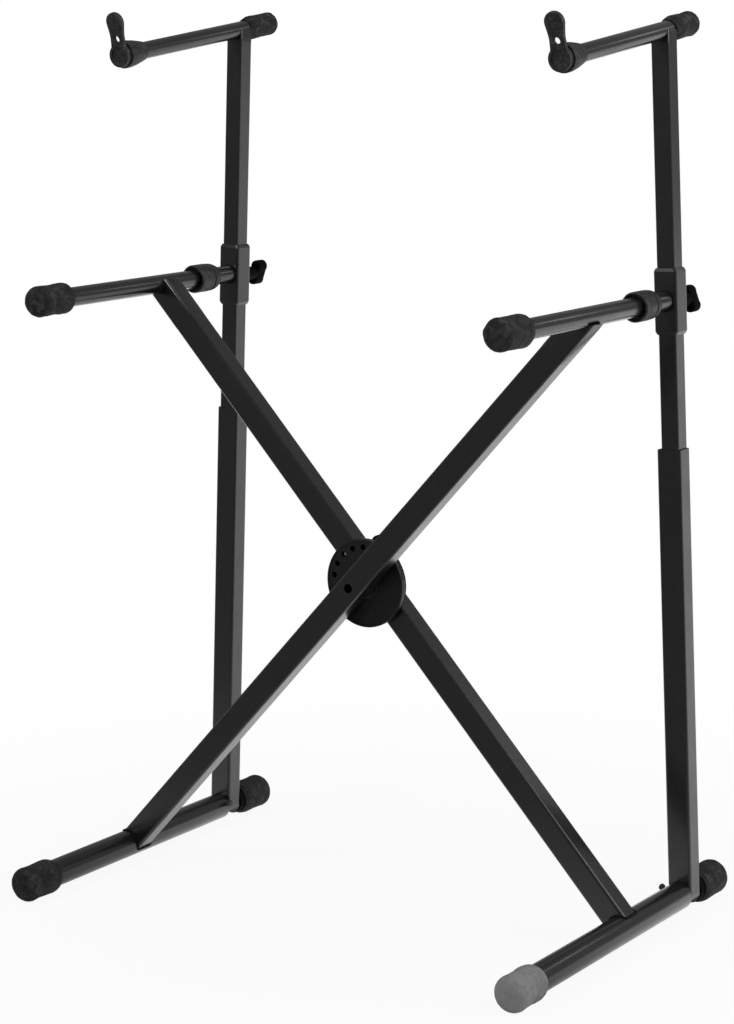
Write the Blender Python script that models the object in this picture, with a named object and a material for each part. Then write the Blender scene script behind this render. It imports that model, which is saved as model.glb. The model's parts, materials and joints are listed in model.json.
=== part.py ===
# Folding two-tier keyboard stand: a crossed pair of legs with an index disc and a
# locking pin at the hub, telescoping posts behind it, and an arm for each tier on
# each side. Metres, +Z up, +Y to the rear, floor at z = 0, origin in the middle of
# the four feet.

import math

import bmesh
import bpy
from mathutils import Matrix

# Depth, from the front feet to the rear feet
BASE_LENGTH = 0.5405
POST_INSET = 0.0885
LEG_TO_POST = 0.212
ARM_SETBACK = 0.0215
ARM_TO_POST = 0.086

# Cross frame
LEG_LOWER = 0.5503
LEG_UPPER = 0.5026
LEG_ANGLE = math.radians(47.3)
LEG_WIDTH = 0.0335
LEG_DEPTH = 0.0295
LEG_WALL = 0.0018
LEG_CORNER = 0.0035
HUB_GAP = 0.021
LEG_TOP_SLOPE = math.radians(15)
LEG_TOP_DROP = 0.0117

# Moulded caps: crown of the closed end, edge at the mouth, and where along the cap's
# length its waist and its swelling lie
CAP_CROWN = 0.0012
CAP_LIP = 0.0014
CAP_LIP_LENGTH = 0.0022
CAP_WAIST_SHARE = 0.45
CAP_SWELLING_SHARE = 0.16
CAP_SWELLING_LENGTH = 0.006

# Base tubes and their rubber feet
BASE_RADIUS = 0.0181
BASE_WALL = 0.0018
FOOT_RADIUS = 0.0235
FOOT_FLAT = 0.0005
FOOT_LENGTH = 0.063
FOOT_END_THICKNESS = 0.008
FOOT_FILLET = 0.010
FOOT_WAIST = 0.0003
SPINDLE_RADIUS = 0.009
SPINDLE_PLUG_LENGTH = 0.036
SPINDLE_THREAD_LENGTH = 0.018
STUB_END_WALL = 0.012
DETENT_SCREW_BACK = 0.0055
DETENT_SCREW_RISE = math.radians(20)
DETENT_SCREW_NECK = 0.0218
DETENT_HEAD_RADIUS = 0.0046
DETENT_HEAD_HEIGHT = 0.0064
DETENT_STEM_RADIUS = 0.0022

# Lower tier arms
ARM_RADIUS = 0.0125
ARM_WALL = 0.0015
ARM_CAP_RADIUS = 0.0203
ARM_CAP_LENGTH = 0.0685
ARM_CAP_END_THICKNESS = 0.006
ARM_CAP_FILLET = 0.009
ARM_CAP_WAIST = 0.0012
BUSH_RADIUS = 0.0191
BUSH_LENGTH = 0.045
BUSH_OVERHANG = 0.011
BUSH_GROOVE_SHARE = 0.60
BUSH_GROOVE_WIDTH = 0.0012
BUSH_RECESS_WIDTH = 0.0035
BUSH_RECESS_DEPTH = 0.002
BUSH_EDGE = 0.0012
BUSH_TAPER = 0.009
SHAFT_RADIUS = 0.012
SPIGOT_LENGTH = 0.038

# Posts
POST_WIDTH = 0.0334
POST_DEPTH = 0.0275
POST_WALL = 0.001
POST_CORNER = 0.0032
POST_TOP = 0.585
POST_TRIM = math.radians(0.1016)
LOOP_PLAY = 0.0033
GUIDE_PLAY = 0.0005
INNER_WALL = 0.0015
INNER_CORNER = 0.0025
INNER_BELOW = 0.55
INNER_ABOVE = 0.335
COLLAR_WALL_SIDE = 0.0033
COLLAR_WALL_DEPTH = 0.0022
COLLAR_END_WALL = 0.0011
COLLAR_UP = 0.041
COLLAR_DOWN = 0.043
COLLAR_TAPER = 0.004

# Clamping knobs
KNOB_SCREW_RADIUS = 0.0034
KNOB_STEM_RADIUS = 0.010
KNOB_STEM_LENGTH = 0.0485
KNOB_SPAN = 0.036
KNOB_LOBE_RADIUS = 0.0085
KNOB_WAIST = 0.0135
KNOB_THICKNESS = 0.020
KNOB_EDGE = 0.0022
KNOB_HEIGHT = -0.003
KNOB_TURN = math.radians(72)

# Upper tier arms
TOP_ARM_RADIUS = 0.0111
TOP_ARM_WALL = 0.0015
TOP_ARM_TILT = math.radians(6.44)
TOP_ARM_FRONT = -0.253
TOP_ARM_REAR = 0.068
TOP_SADDLE_DROP = 0.004
TOP_CAP_RADIUS = 0.016
TOP_CAP_LENGTH = 0.063
TOP_CAP_END_THICKNESS = 0.0067
TOP_CAP_FILLET = 0.0075
TOP_CAP_WAIST = 0.0006
TOP_COLLAR_RADIUS = 0.0177
TOP_COLLAR_LENGTH = 0.036
TOP_COLLAR_FACE = 0.003
STOP_BOSS_RADIUS = 0.01525
STOP_BOSS_THICKNESS = 0.0085
STOP_BOSS_DISH = 0.0018
STOP_BOSS_RIM = 0.0046
STOP_SHAFT_LENGTH = 0.020
STOP_REACH = 0.0572
STOP_HEAD_RADIUS = 0.013
STOP_WAIST = 0.0205
STOP_THICKNESS = 0.0065
STOP_EDGE = 0.0012
STOP_LEAN = math.radians(9)
STOP_EYE_UP = 0.0218
STOP_EYE_RADIUS = 0.0049

# Hub
DISC_RADIUS = 0.0585
DISC_THICKNESS = 0.008
DISC_WEB = 0.003
DISC_WEB_INSET = 0.0008
DISC_RIM = 0.003
DISC_EDGE = 0.001
DISC_BOSS_RADIUS = 0.019
DETENT_CIRCLE = 0.0475
DETENT_RADIUS = 0.0036
DETENT_STEP = math.radians(20)
DETENTS_FOLDING = 4
DETENTS_SPREADING = 2
WASHER_RADIUS = 0.054
WASHER_THICKNESS = 0.0044
BOLT_RADIUS = 0.004
BOLT_HEAD_RADIUS = 0.0059
BOLT_HEAD_THICKNESS = 0.007
BOLT_SOCKET_SHARE = 0.55
BOLT_END = 0.002
BOLT_WINDOW_RADIUS = 0.00625
NUT_RADIUS = 0.0075
NUT_THICKNESS = 0.0065
PIN_RADIUS = 0.0031
PIN_CHAMFER = 0.0010
PIN_PROUD = 0.0008
HOUSING_RADIUS = 0.009
HOUSING_NECK_RADIUS = 0.0072
HOUSING_NECK_LENGTH = 0.002
HOUSING_FLANGE_RADIUS = 0.0125
HOUSING_FLANGE_THICKNESS = 0.0035
HOUSING_LENGTH = 0.024
PULL_RADIUS = 0.0115
PULL_LENGTH = 0.024
PULL_GRIP_SHARE = 0.42
PULL_RIBS = 3
PULL_GROOVE = 0.0006
PULL_CROWN = 0.003

# Fits: touching pieces stay this far apart, and a turning or sliding piece has a
# little more
CLEARANCE = 0.0003
RUNNING_FIT = 0.0004
EDGE_BREAK = 0.0008

# Sides of the round pieces: disc, base, arms and small fasteners
DISC_STEPS = 32
ROUND_STEPS = 20
ARM_STEPS = 16
SMALL_STEPS = 12

# Finishes: colour, roughness, metallic
BLACK_STEEL = ((0.020, 0.020, 0.022), 0.38, 0.55)
RUBBER = ((0.022, 0.022, 0.023), 0.80, 0.0)
GREY_RUBBER = ((0.120, 0.120, 0.118), 0.80, 0.0)
PLASTIC = ((0.014, 0.014, 0.015), 0.50, 0.0)
DARK_PLASTIC = ((0.006, 0.006, 0.006), 0.42, 0.0)
BRIGHT_STEEL = ((0.62, 0.62, 0.60), 0.22, 1.0)

# Places that follow from the sizes above
BASE_Z = FOOT_RADIUS - FOOT_FLAT
BASE_X = LEG_LOWER * math.cos(LEG_ANGLE)
HUB_Z = BASE_Z + LEG_LOWER * math.sin(LEG_ANGLE)
ARM_X = LEG_UPPER * math.cos(LEG_ANGLE)
ARM_Z = HUB_Z + LEG_UPPER * math.sin(LEG_ANGLE)
POST_LEAN = math.atan2(BASE_X - ARM_X, ARM_Z - BASE_Z) + POST_TRIM

FOOT_FRONT = -BASE_LENGTH / 2
FOOT_REAR = BASE_LENGTH / 2
POST_Y = FOOT_REAR - POST_INSET
FRONT_LEG_Y = POST_Y - LEG_TO_POST
REAR_LEG_Y = FRONT_LEG_Y + LEG_DEPTH + HUB_GAP
FRONT_LEG_BACK = FRONT_LEG_Y + LEG_DEPTH / 2
REAR_LEG_FACE = REAR_LEG_Y - LEG_DEPTH / 2
REAR_LEG_BACK = REAR_LEG_Y + LEG_DEPTH / 2
ARM_CAP_FRONT = FOOT_FRONT + ARM_SETBACK
ARM_FRONT = ARM_CAP_FRONT + ARM_CAP_END_THICKNESS + CLEARANCE
ARM_REAR = POST_Y - ARM_TO_POST
BUSH_FRONT = ARM_REAR - BUSH_OVERHANG
BUSH_GROOVE = BUSH_FRONT + BUSH_LENGTH * BUSH_GROOVE_SHARE
BUSH_REAR = BUSH_FRONT + BUSH_LENGTH

DISC_BACK = REAR_LEG_FACE - WASHER_THICKNESS - 2 * CLEARANCE
DISC_FRONT = DISC_BACK - DISC_THICKNESS
WEB_BACK = DISC_FRONT + DISC_WEB_INSET + DISC_WEB
# The pin is held drawn back, just clear of the disc, and goes forward by its throw.
PIN_THROW = RUNNING_FIT + WEB_BACK - DISC_FRONT + PIN_PROUD

POST_FRONT = POST_Y - POST_DEPTH / 2
POST_BACK = POST_Y + POST_DEPTH / 2
INNER_WIDTH = POST_WIDTH - 2 * (POST_WALL + LOOP_PLAY)
INNER_DEPTH = POST_DEPTH - 2 * (POST_WALL + GUIDE_PLAY)
COLLAR_BORE_WIDTH = INNER_WIDTH + 2 * RUNNING_FIT
COLLAR_BORE_DEPTH = INNER_DEPTH + 2 * RUNNING_FIT
COLLAR_WIDTH = COLLAR_BORE_WIDTH + 2 * COLLAR_WALL_SIDE
COLLAR_DEPTH = COLLAR_BORE_DEPTH + 2 * COLLAR_WALL_DEPTH

LEFT = -1
RIGHT = 1
SIDE_NAMES = {LEFT: "left", RIGHT: "right"}


def clear_scene():
    for found in list(bpy.data.objects):
        bpy.data.objects.remove(found, do_unlink=True)


def make_material(name, finish):
    colour, roughness, metallic = finish
    made = bpy.data.materials.new(name)
    made.use_nodes = True
    shader = made.node_tree.nodes["Principled BSDF"]
    shader.inputs["Base Color"].default_value = (*colour, 1.0)
    shader.inputs["Roughness"].default_value = roughness
    shader.inputs["Metallic"].default_value = metallic
    made.diffuse_color = (*colour, 1.0)
    return made


def add_frame(name, parent=None, location=(0.0, 0.0, 0.0), turn=0.0):
    """An empty on a joint's axis, turned about Y."""
    made = bpy.data.objects.new(name, None)
    bpy.context.scene.collection.objects.link(made)
    made.parent = parent
    made.location = location
    made.rotation_euler = (0.0, turn, 0.0)
    made.empty_display_size = 0.02
    return made


def add_part(name, shape, finish, parent, location=(0.0, 0.0, 0.0), rotation=(0.0, 0.0, 0.0)):
    """Turn a bmesh into an object with its own material under its frame."""
    mesh = bpy.data.meshes.new(name)
    shape.to_mesh(mesh)
    shape.free()
    mesh.shade_smooth()
    mesh.set_sharp_from_angle(angle=math.radians(34))
    made = bpy.data.objects.new(name, mesh)
    bpy.context.scene.collection.objects.link(made)
    made.parent = parent
    made.location = location
    made.rotation_euler = rotation
    mesh.materials.append(make_material(name + "_finish", finish))
    return made


def add_cutter(name, target, shape, operation="DIFFERENCE", matrix=None):
    """Cut a shape, given in the target's own frame, out of the target, or join it on."""
    if matrix is not None:
        bmesh.ops.transform(shape, matrix=matrix, verts=shape.verts)
    mesh = bpy.data.meshes.new(name)
    shape.to_mesh(mesh)
    shape.free()
    cutter = bpy.data.objects.new(name, mesh)
    bpy.context.scene.collection.objects.link(cutter)
    cutter.parent = target.parent
    cutter.location = target.location
    cutter.rotation_euler = target.rotation_euler
    cutter.hide_render = True
    cutter.display_type = "WIRE"
    boolean = target.modifiers.new(name, "BOOLEAN")
    boolean.object = cutter
    boolean.operation = operation
    return cutter


def turned(profile, steps=ROUND_STEPS):
    """Spin (radius, y) points about the Y axis. A profile that leaves the axis is a ring."""
    shape = bmesh.new()
    points = [shape.verts.new((radius, along, 0.0)) for radius, along in profile]
    pairs = list(zip(points, points[1:]))
    if profile[0][0] > 0.0:
        pairs.append((points[-1], points[0]))
    edges = [shape.edges.new(pair) for pair in pairs]
    bmesh.ops.spin(
        shape, geom=points + edges, cent=(0.0, 0.0, 0.0), axis=(0.0, 1.0, 0.0),
        angle=math.tau, steps=steps,
    )
    bmesh.ops.remove_doubles(shape, verts=shape.verts, dist=1e-6)
    bmesh.ops.recalc_face_normals(shape, faces=shape.faces)
    return shape


def rod(radius, start, end, steps=SMALL_STEPS):
    """A plain cylinder along Y."""
    return turned([(0.0, start), (radius, start), (radius, end), (0.0, end)], steps)


def arc(centre_x, centre_y, radius, start, end, steps):
    """Points along an arc, from one angle to the other."""
    angles = [start + (end - start) * step / steps for step in range(steps + 1)]
    return [
        (centre_x + radius * math.cos(angle), centre_y + radius * math.sin(angle))
        for angle in angles
    ]


def rounded_rectangle(width, depth, corner, steps=3):
    """Outline in X and Y with its corners rounded."""
    across = width / 2 - corner
    along = depth / 2 - corner
    outline = []
    for quarter, (sign_x, sign_y) in enumerate(((1, 1), (-1, 1), (-1, -1), (1, -1))):
        start = quarter * math.pi / 2
        outline += arc(sign_x * across, sign_y * along, corner, start, start + math.pi / 2, steps)
    return outline


def sleeve(outer, inner):
    """A tube along Z from two lists of (outline, height), open at both ends."""
    shape = bmesh.new()
    stations = outer + inner[::-1]
    loops = [[shape.verts.new((x, y, height)) for x, y in outline] for outline, height in stations]
    # Up the outside, over the top edge, down the inside and back across the bottom edge.
    for loop, following in zip(loops, loops[1:] + loops[:1]):
        for index in range(len(loop)):
            shape.faces.new((loop[index - 1], loop[index], following[index], following[index - 1]))
    bmesh.ops.recalc_face_normals(shape, faces=shape.faces)
    return shape


def rectangular_tube(width, depth, wall, corner, bottom, top):
    outer = rounded_rectangle(width, depth, corner)
    inner = rounded_rectangle(width - 2 * wall, depth - 2 * wall, max(corner - wall, corner / 4))
    return sleeve([(outer, bottom), (outer, top)], [(inner, bottom), (inner, top)])


def plate(outline, start, end):
    """A flat plate in X and Z, its thickness along Y."""
    shape = bmesh.new()
    points = [shape.verts.new((x, start, z)) for x, z in outline]
    face = shape.faces.new(points)
    grown = bmesh.ops.extrude_face_region(shape, geom=[face])
    moved = [found for found in grown["geom"] if isinstance(found, bmesh.types.BMVert)]
    bmesh.ops.translate(shape, verts=moved, vec=(0.0, end - start, 0.0))
    bmesh.ops.recalc_face_normals(shape, faces=shape.faces)
    return shape


def bevel_faces_of_plate(shape, size):
    """Chamfer the edges round a plate's front and back faces."""
    rims = [edge for edge in shape.edges if abs(edge.verts[0].co.y - edge.verts[1].co.y) < 1e-6]
    bmesh.ops.bevel(
        shape, geom=rims, affect="EDGES", offset=size, offset_type="OFFSET", segments=1,
        profile=0.5, material=-1,
    )


def block(width, depth, height, centre):
    shape = bmesh.new()
    bmesh.ops.create_cube(shape, size=1.0)
    bmesh.ops.scale(shape, verts=shape.verts, vec=(width, depth, height))
    bmesh.ops.translate(shape, verts=shape.verts, vec=centre)
    return shape


def cap_profile(end, facing, length, radius, fillet, waist, bore, end_thickness):
    """A moulded cap: blunt rounded end, slight waist, a swelling by the mouth, and its bore.

    facing is -1 where the closed end points to the front and 1 where it points back.
    """
    mouth = end - facing * length
    lip = bore + CAP_LIP
    swelling = length * CAP_SWELLING_SHARE
    points = [(0.0, end), (radius - fillet, end - facing * CAP_CROWN)]
    for x, y in arc(radius - fillet, -fillet, fillet, math.pi / 2, 0.0, 4)[1:]:
        points.append((x, end + facing * (y - CAP_CROWN)))
    points += [
        (radius - waist, end - facing * length * CAP_WAIST_SHARE),
        (radius, mouth + facing * (swelling + CAP_SWELLING_LENGTH)),
        (radius, mouth + facing * swelling),
        (lip + (radius - lip) * 2 / 3, mouth + facing * swelling / 2),
        (lip + (radius - lip) / 10, mouth + facing * CAP_LIP_LENGTH),
        (lip, mouth),
        (bore, mouth),
        (bore, end - facing * end_thickness),
        (0.0, end - facing * end_thickness),
    ]
    return points


def cut_foot_flat(shape):
    """The flat that the foot stands on."""
    geometry = shape.verts[:] + shape.edges[:] + shape.faces[:]
    cut = bmesh.ops.bisect_plane(
        shape, geom=geometry, plane_co=(0.0, 0.0, -BASE_Z), plane_no=(0.0, 0.0, -1.0), clear_outer=True
    )
    rim = [found for found in cut["geom_cut"] if isinstance(found, bmesh.types.BMEdge)]
    bmesh.ops.holes_fill(shape, edges=rim)
    bmesh.ops.recalc_face_normals(shape, faces=shape.faces)


def build_leg(name, frame, centre_y):
    """A rectangular tube from the base tube up to the underside of its lower arm."""
    shape = rectangular_tube(
        LEG_WIDTH, LEG_DEPTH, LEG_WALL, LEG_CORNER, -LEG_LOWER, LEG_UPPER + LEG_WIDTH
    )
    return add_part(name, shape, BLACK_STEEL, frame, (0.0, centre_y, 0.0))


def cope_leg(leg, side):
    """Saddle the lower end on the base tube and slope the upper end under the arm.

    side is the side of the leg's upper end.
    """
    reach = LEG_DEPTH
    cope = rod(BASE_RADIUS + CLEARANCE, -reach, reach, ROUND_STEPS * 2)
    add_cutter(leg.name + "_base_cope", leg, cope, matrix=Matrix.Translation((0, 0, -LEG_LOWER)))
    under_arm = rod(ARM_RADIUS + CLEARANCE, -reach, reach, ROUND_STEPS * 2)
    size = 4 * LEG_WIDTH
    above = block(size, 2 * reach, size, (0.0, 0.0, size / 2 - LEG_TOP_DROP))
    arm_axis = Matrix.Translation((0.0, 0.0, LEG_UPPER))
    # The leg's own frame leans to its upper side, so the slope is turned back first.
    slope = Matrix.Rotation(-side * (math.pi / 2 - LEG_ANGLE + LEG_TOP_SLOPE), 4, "Y")
    add_cutter(leg.name + "_top_slope", leg, above, matrix=arm_axis @ slope)
    add_cutter(leg.name + "_arm_cope", leg, under_arm, matrix=arm_axis)


def build_cross(front_frame, rear_frame):
    front = build_leg("leg_front", front_frame, FRONT_LEG_Y)
    cope_leg(front, RIGHT)
    window = rod(BOLT_WINDOW_RADIUS, -LEG_DEPTH, 0.0)
    add_cutter("leg_front_bolt_window", front, window)
    shank = rod(BOLT_RADIUS + CLEARANCE, -LEG_DEPTH / 4, LEG_DEPTH)
    add_cutter("leg_front_bolt_hole", front, shank)

    rear = build_leg("leg_rear", rear_frame, REAR_LEG_Y)
    cope_leg(rear, LEFT)
    shank = rod(BOLT_RADIUS + RUNNING_FIT, -LEG_DEPTH, LEG_DEPTH)
    add_cutter("leg_rear_bolt_hole", rear, shank)
    pin_hole = rod(PIN_RADIUS + RUNNING_FIT, -LEG_DEPTH, LEG_DEPTH)
    add_cutter("leg_rear_pin_hole", rear, pin_hole, matrix=Matrix.Translation((0, 0, DETENT_CIRCLE)))


def build_index_disc(frame):
    """Rimmed disc with a ring of detent holes, carried by the front leg."""
    bore = BOLT_RADIUS + CLEARANCE
    web_front = DISC_FRONT + DISC_WEB_INSET
    rim_inside = DISC_RADIUS - DISC_RIM
    profile = [
        (bore, FRONT_LEG_BACK + CLEARANCE),
        (DISC_BOSS_RADIUS, FRONT_LEG_BACK + CLEARANCE),
        (DISC_BOSS_RADIUS, web_front),
        (rim_inside, web_front),
        (rim_inside, DISC_FRONT),
        (DISC_RADIUS - DISC_EDGE, DISC_FRONT),
        (DISC_RADIUS, DISC_FRONT + DISC_EDGE),
        (DISC_RADIUS, DISC_BACK - DISC_EDGE),
        (DISC_RADIUS - DISC_EDGE, DISC_BACK),
        (rim_inside, DISC_BACK),
        (rim_inside, WEB_BACK),
        (DISC_BOSS_RADIUS, WEB_BACK),
        (DISC_BOSS_RADIUS, DISC_BACK),
        (bore, DISC_BACK),
    ]
    disc = add_part("index_disc", turned(profile, DISC_STEPS), BLACK_STEEL, frame)
    # At rest the pin stands behind the hole on the rear leg's line.
    at_rest = -(math.pi - 2 * LEG_ANGLE)
    for number in range(-DETENTS_SPREADING, DETENTS_FOLDING + 1):
        angle = at_rest + number * DETENT_STEP
        hole = rod(DETENT_RADIUS, DISC_FRONT - DISC_WEB, DISC_BACK + DISC_WEB)
        place = Matrix.Rotation(angle, 4, "Y") @ Matrix.Translation((0, 0, DETENT_CIRCLE))
        add_cutter("index_disc_detent_" + str(number + DETENTS_SPREADING), disc, hole, matrix=place)


def build_pivot(front_frame, rear_frame):
    """Shouldered bolt from inside the front leg to a nut behind the rear leg."""
    inner_wall = FRONT_LEG_BACK - LEG_WALL
    seat = inner_wall - CLEARANCE
    head_front = seat - BOLT_HEAD_THICKNESS
    socket_radius = BOLT_HEAD_RADIUS * BOLT_SOCKET_SHARE
    socket_depth = BOLT_HEAD_THICKNESS * BOLT_SOCKET_SHARE
    nut_front = REAR_LEG_BACK + CLEARANCE
    end = nut_front + NUT_THICKNESS + BOLT_END
    bolt = turned(
        [
            (0.0, head_front + socket_depth),
            (socket_radius, head_front + socket_depth),
            (socket_radius, head_front),
            (BOLT_HEAD_RADIUS - EDGE_BREAK, head_front),
            (BOLT_HEAD_RADIUS, head_front + EDGE_BREAK),
            (BOLT_HEAD_RADIUS, seat),
            (BOLT_RADIUS, seat),
            (BOLT_RADIUS, end - EDGE_BREAK),
            (BOLT_RADIUS - EDGE_BREAK, end),
            (0.0, end),
        ],
        SMALL_STEPS,
    )
    add_part("pivot_bolt", bolt, BRIGHT_STEEL, front_frame)
    nut_back = nut_front + NUT_THICKNESS
    nut_shape = turned(
        [
            (0.0, nut_front),
            (NUT_RADIUS, nut_front),
            (NUT_RADIUS, nut_back - EDGE_BREAK),
            (NUT_RADIUS - EDGE_BREAK, nut_back),
            (0.0, nut_back),
        ],
        6,
    )
    nut = add_part("pivot_nut", nut_shape, BRIGHT_STEEL, front_frame)
    nut_bore = rod(BOLT_RADIUS + CLEARANCE, nut_front - NUT_THICKNESS, nut_back + NUT_THICKNESS)
    add_cutter("pivot_nut_bore", nut, nut_bore)
    washer_bore = BOLT_RADIUS + RUNNING_FIT
    washer_back = REAR_LEG_FACE - CLEARANCE
    washer_front = washer_back - WASHER_THICKNESS
    washer_shape = turned(
        [
            (washer_bore, washer_front),
            (WASHER_RADIUS, washer_front),
            (WASHER_RADIUS, washer_back),
            (washer_bore, washer_back),
        ],
        DISC_STEPS,
    )
    washer = add_part("hub_washer", washer_shape, DARK_PLASTIC, rear_frame)
    pin_hole = rod(PIN_RADIUS + RUNNING_FIT, washer_front - DISC_WEB, washer_back + DISC_WEB)
    add_cutter("hub_washer_pin_hole", washer, pin_hole, matrix=Matrix.Translation((0, 0, DETENT_CIRCLE)))


def build_lock(rear_frame):
    """Sprung pin in a housing behind the rear leg, pulled back by its knob."""
    place = (0.0, 0.0, DETENT_CIRCLE)
    pin_frame = add_frame("lock_pin_axis", rear_frame, place)
    bore = PIN_RADIUS + RUNNING_FIT
    front = REAR_LEG_BACK + CLEARANCE
    flange_back = front + HOUSING_FLANGE_THICKNESS
    end = front + HOUSING_LENGTH
    neck_front = end - HOUSING_NECK_LENGTH
    housing = turned(
        [
            (bore, front),
            (HOUSING_FLANGE_RADIUS, front),
            (HOUSING_FLANGE_RADIUS, flange_back),
            (HOUSING_RADIUS, flange_back),
            (HOUSING_RADIUS, neck_front - HOUSING_NECK_LENGTH),
            (HOUSING_NECK_RADIUS, neck_front),
            (HOUSING_NECK_RADIUS, end),
            (bore, end),
        ],
        ARM_STEPS,
    )
    add_part("lock_housing", housing, BLACK_STEEL, rear_frame, place)

    pull_front = end + CLEARANCE + PIN_THROW
    pull_back = pull_front + PULL_LENGTH
    tip = WEB_BACK + RUNNING_FIT
    pin_end = pull_back - PULL_LENGTH / 4
    pin = turned(
        [
            (0.0, tip),
            (PIN_RADIUS - PIN_CHAMFER, tip),
            (PIN_RADIUS, tip + PIN_CHAMFER),
            (PIN_RADIUS, pin_end),
            (0.0, pin_end),
        ],
        SMALL_STEPS,
    )
    add_part("lock_pin", pin, BRIGHT_STEEL, pin_frame)

    grip_start = pull_front + PULL_LENGTH * PULL_GRIP_SHARE
    pin_bore = PIN_RADIUS + CLEARANCE
    bore_end = pin_end + CLEARANCE
    points = [
        (0.0, bore_end),
        (pin_bore, bore_end),
        (pin_bore, pull_front),
        (PULL_RADIUS * 2 / 3, pull_front),
        (PULL_RADIUS * 2 / 3, pull_front + PULL_LENGTH / 4),
        (PULL_RADIUS - PULL_GROOVE, grip_start),
    ]
    pitch = (pull_back - PULL_CROWN - grip_start) / PULL_RIBS
    for rib in range(PULL_RIBS):
        start = grip_start + rib * pitch
        points += [
            (PULL_RADIUS, start + pitch / 4),
            (PULL_RADIUS, start + pitch * 3 / 4),
            (PULL_RADIUS - PULL_GROOVE, start + pitch),
        ]
    points += [(PULL_RADIUS - PULL_CROWN, pull_back), (0.0, pull_back)]
    add_part("lock_knob", turned(points, ARM_STEPS), DARK_PLASTIC, pin_frame)


def build_base(side, frame):
    """Base tube, rubber feet, the spindle that the post turns on, and the detent screw."""
    name = SIDE_NAMES[side]
    inside = BASE_RADIUS - BASE_WALL
    tube_front = FOOT_FRONT + FOOT_END_THICKNESS + CLEARANCE
    tube_back = POST_FRONT - CLEARANCE
    tube_profile = [
        (inside, tube_front), (BASE_RADIUS, tube_front), (BASE_RADIUS, tube_back), (inside, tube_back),
    ]
    tube = add_part("base_tube_" + name, turned(tube_profile), BLACK_STEEL, frame)

    cap_bore = BASE_RADIUS + CLEARANCE
    front_cap = turned(cap_profile(
        FOOT_FRONT, -1, FOOT_LENGTH, FOOT_RADIUS, FOOT_FILLET, FOOT_WAIST, cap_bore, FOOT_END_THICKNESS
    ))
    cut_foot_flat(front_cap)
    finish = GREY_RUBBER if side == RIGHT else RUBBER
    add_part("foot_cap_front_" + name, front_cap, finish, frame)
    rear_cap = turned(cap_profile(
        FOOT_REAR, 1, FOOT_LENGTH, FOOT_RADIUS, FOOT_FILLET, FOOT_WAIST, cap_bore, FOOT_END_THICKNESS
    ))
    cut_foot_flat(rear_cap)
    add_part("foot_cap_rear_" + name, rear_cap, RUBBER, frame)

    plug_radius = inside - CLEARANCE
    stub_front = POST_BACK + RUNNING_FIT
    stub_back = FOOT_REAR - FOOT_END_THICKNESS - CLEARANCE
    thread_end = stub_front + SPINDLE_THREAD_LENGTH
    spindle = turned([
        (0.0, tube_back - SPINDLE_PLUG_LENGTH),
        (plug_radius, tube_back - SPINDLE_PLUG_LENGTH),
        (plug_radius, tube_back),
        (SPINDLE_RADIUS, tube_back),
        (SPINDLE_RADIUS, thread_end),
        (0.0, thread_end),
    ])
    add_part("spindle_" + name, spindle, BRIGHT_STEEL, frame)
    stub_wall_end = stub_front + STUB_END_WALL
    stub = turned([
        (SPINDLE_RADIUS + CLEARANCE, stub_front),
        (BASE_RADIUS, stub_front),
        (BASE_RADIUS, stub_back),
        (inside, stub_back),
        (inside, stub_wall_end),
        (SPINDLE_RADIUS + CLEARANCE, stub_wall_end),
    ])
    add_part("base_stub_" + name, stub, BLACK_STEEL, frame)

    # The detent screw points inward and a little up, through the tube's wall.
    neck = DETENT_SCREW_NECK
    screw_seat = BASE_RADIUS + CLEARANCE
    stem_end = plug_radius + CLEARANCE
    screw = turned(
        [
            (0.0, stem_end),
            (DETENT_STEM_RADIUS, stem_end),
            (DETENT_STEM_RADIUS, screw_seat),
            (DETENT_STEM_RADIUS * 1.5, screw_seat),
            (DETENT_STEM_RADIUS * 1.3, neck),
            (DETENT_HEAD_RADIUS - EDGE_BREAK, neck),
            (DETENT_HEAD_RADIUS, neck + DETENT_HEAD_HEIGHT / 4),
            (DETENT_HEAD_RADIUS, neck + DETENT_HEAD_HEIGHT / 2),
            (DETENT_HEAD_RADIUS * 2 / 3, neck + DETENT_HEAD_HEIGHT),
            (0.0, neck + DETENT_HEAD_HEIGHT),
        ],
        SMALL_STEPS,
    )
    screw_y = POST_FRONT - DETENT_SCREW_BACK
    inward = Matrix.Rotation(-side * (math.pi / 2 - DETENT_SCREW_RISE), 4, "Y")
    upright = Matrix.Rotation(math.pi / 2, 4, "X")
    place = Matrix.Translation((0.0, screw_y, 0.0)) @ inward @ upright
    bmesh.ops.transform(screw, matrix=place, verts=screw.verts)
    add_part("detent_screw_" + name, screw, DARK_PLASTIC, frame)
    hole = rod(DETENT_STEM_RADIUS + CLEARANCE, 0.0, BASE_RADIUS * 1.2)
    add_cutter("base_tube_screw_hole_" + name, tube, hole, matrix=place)


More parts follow.
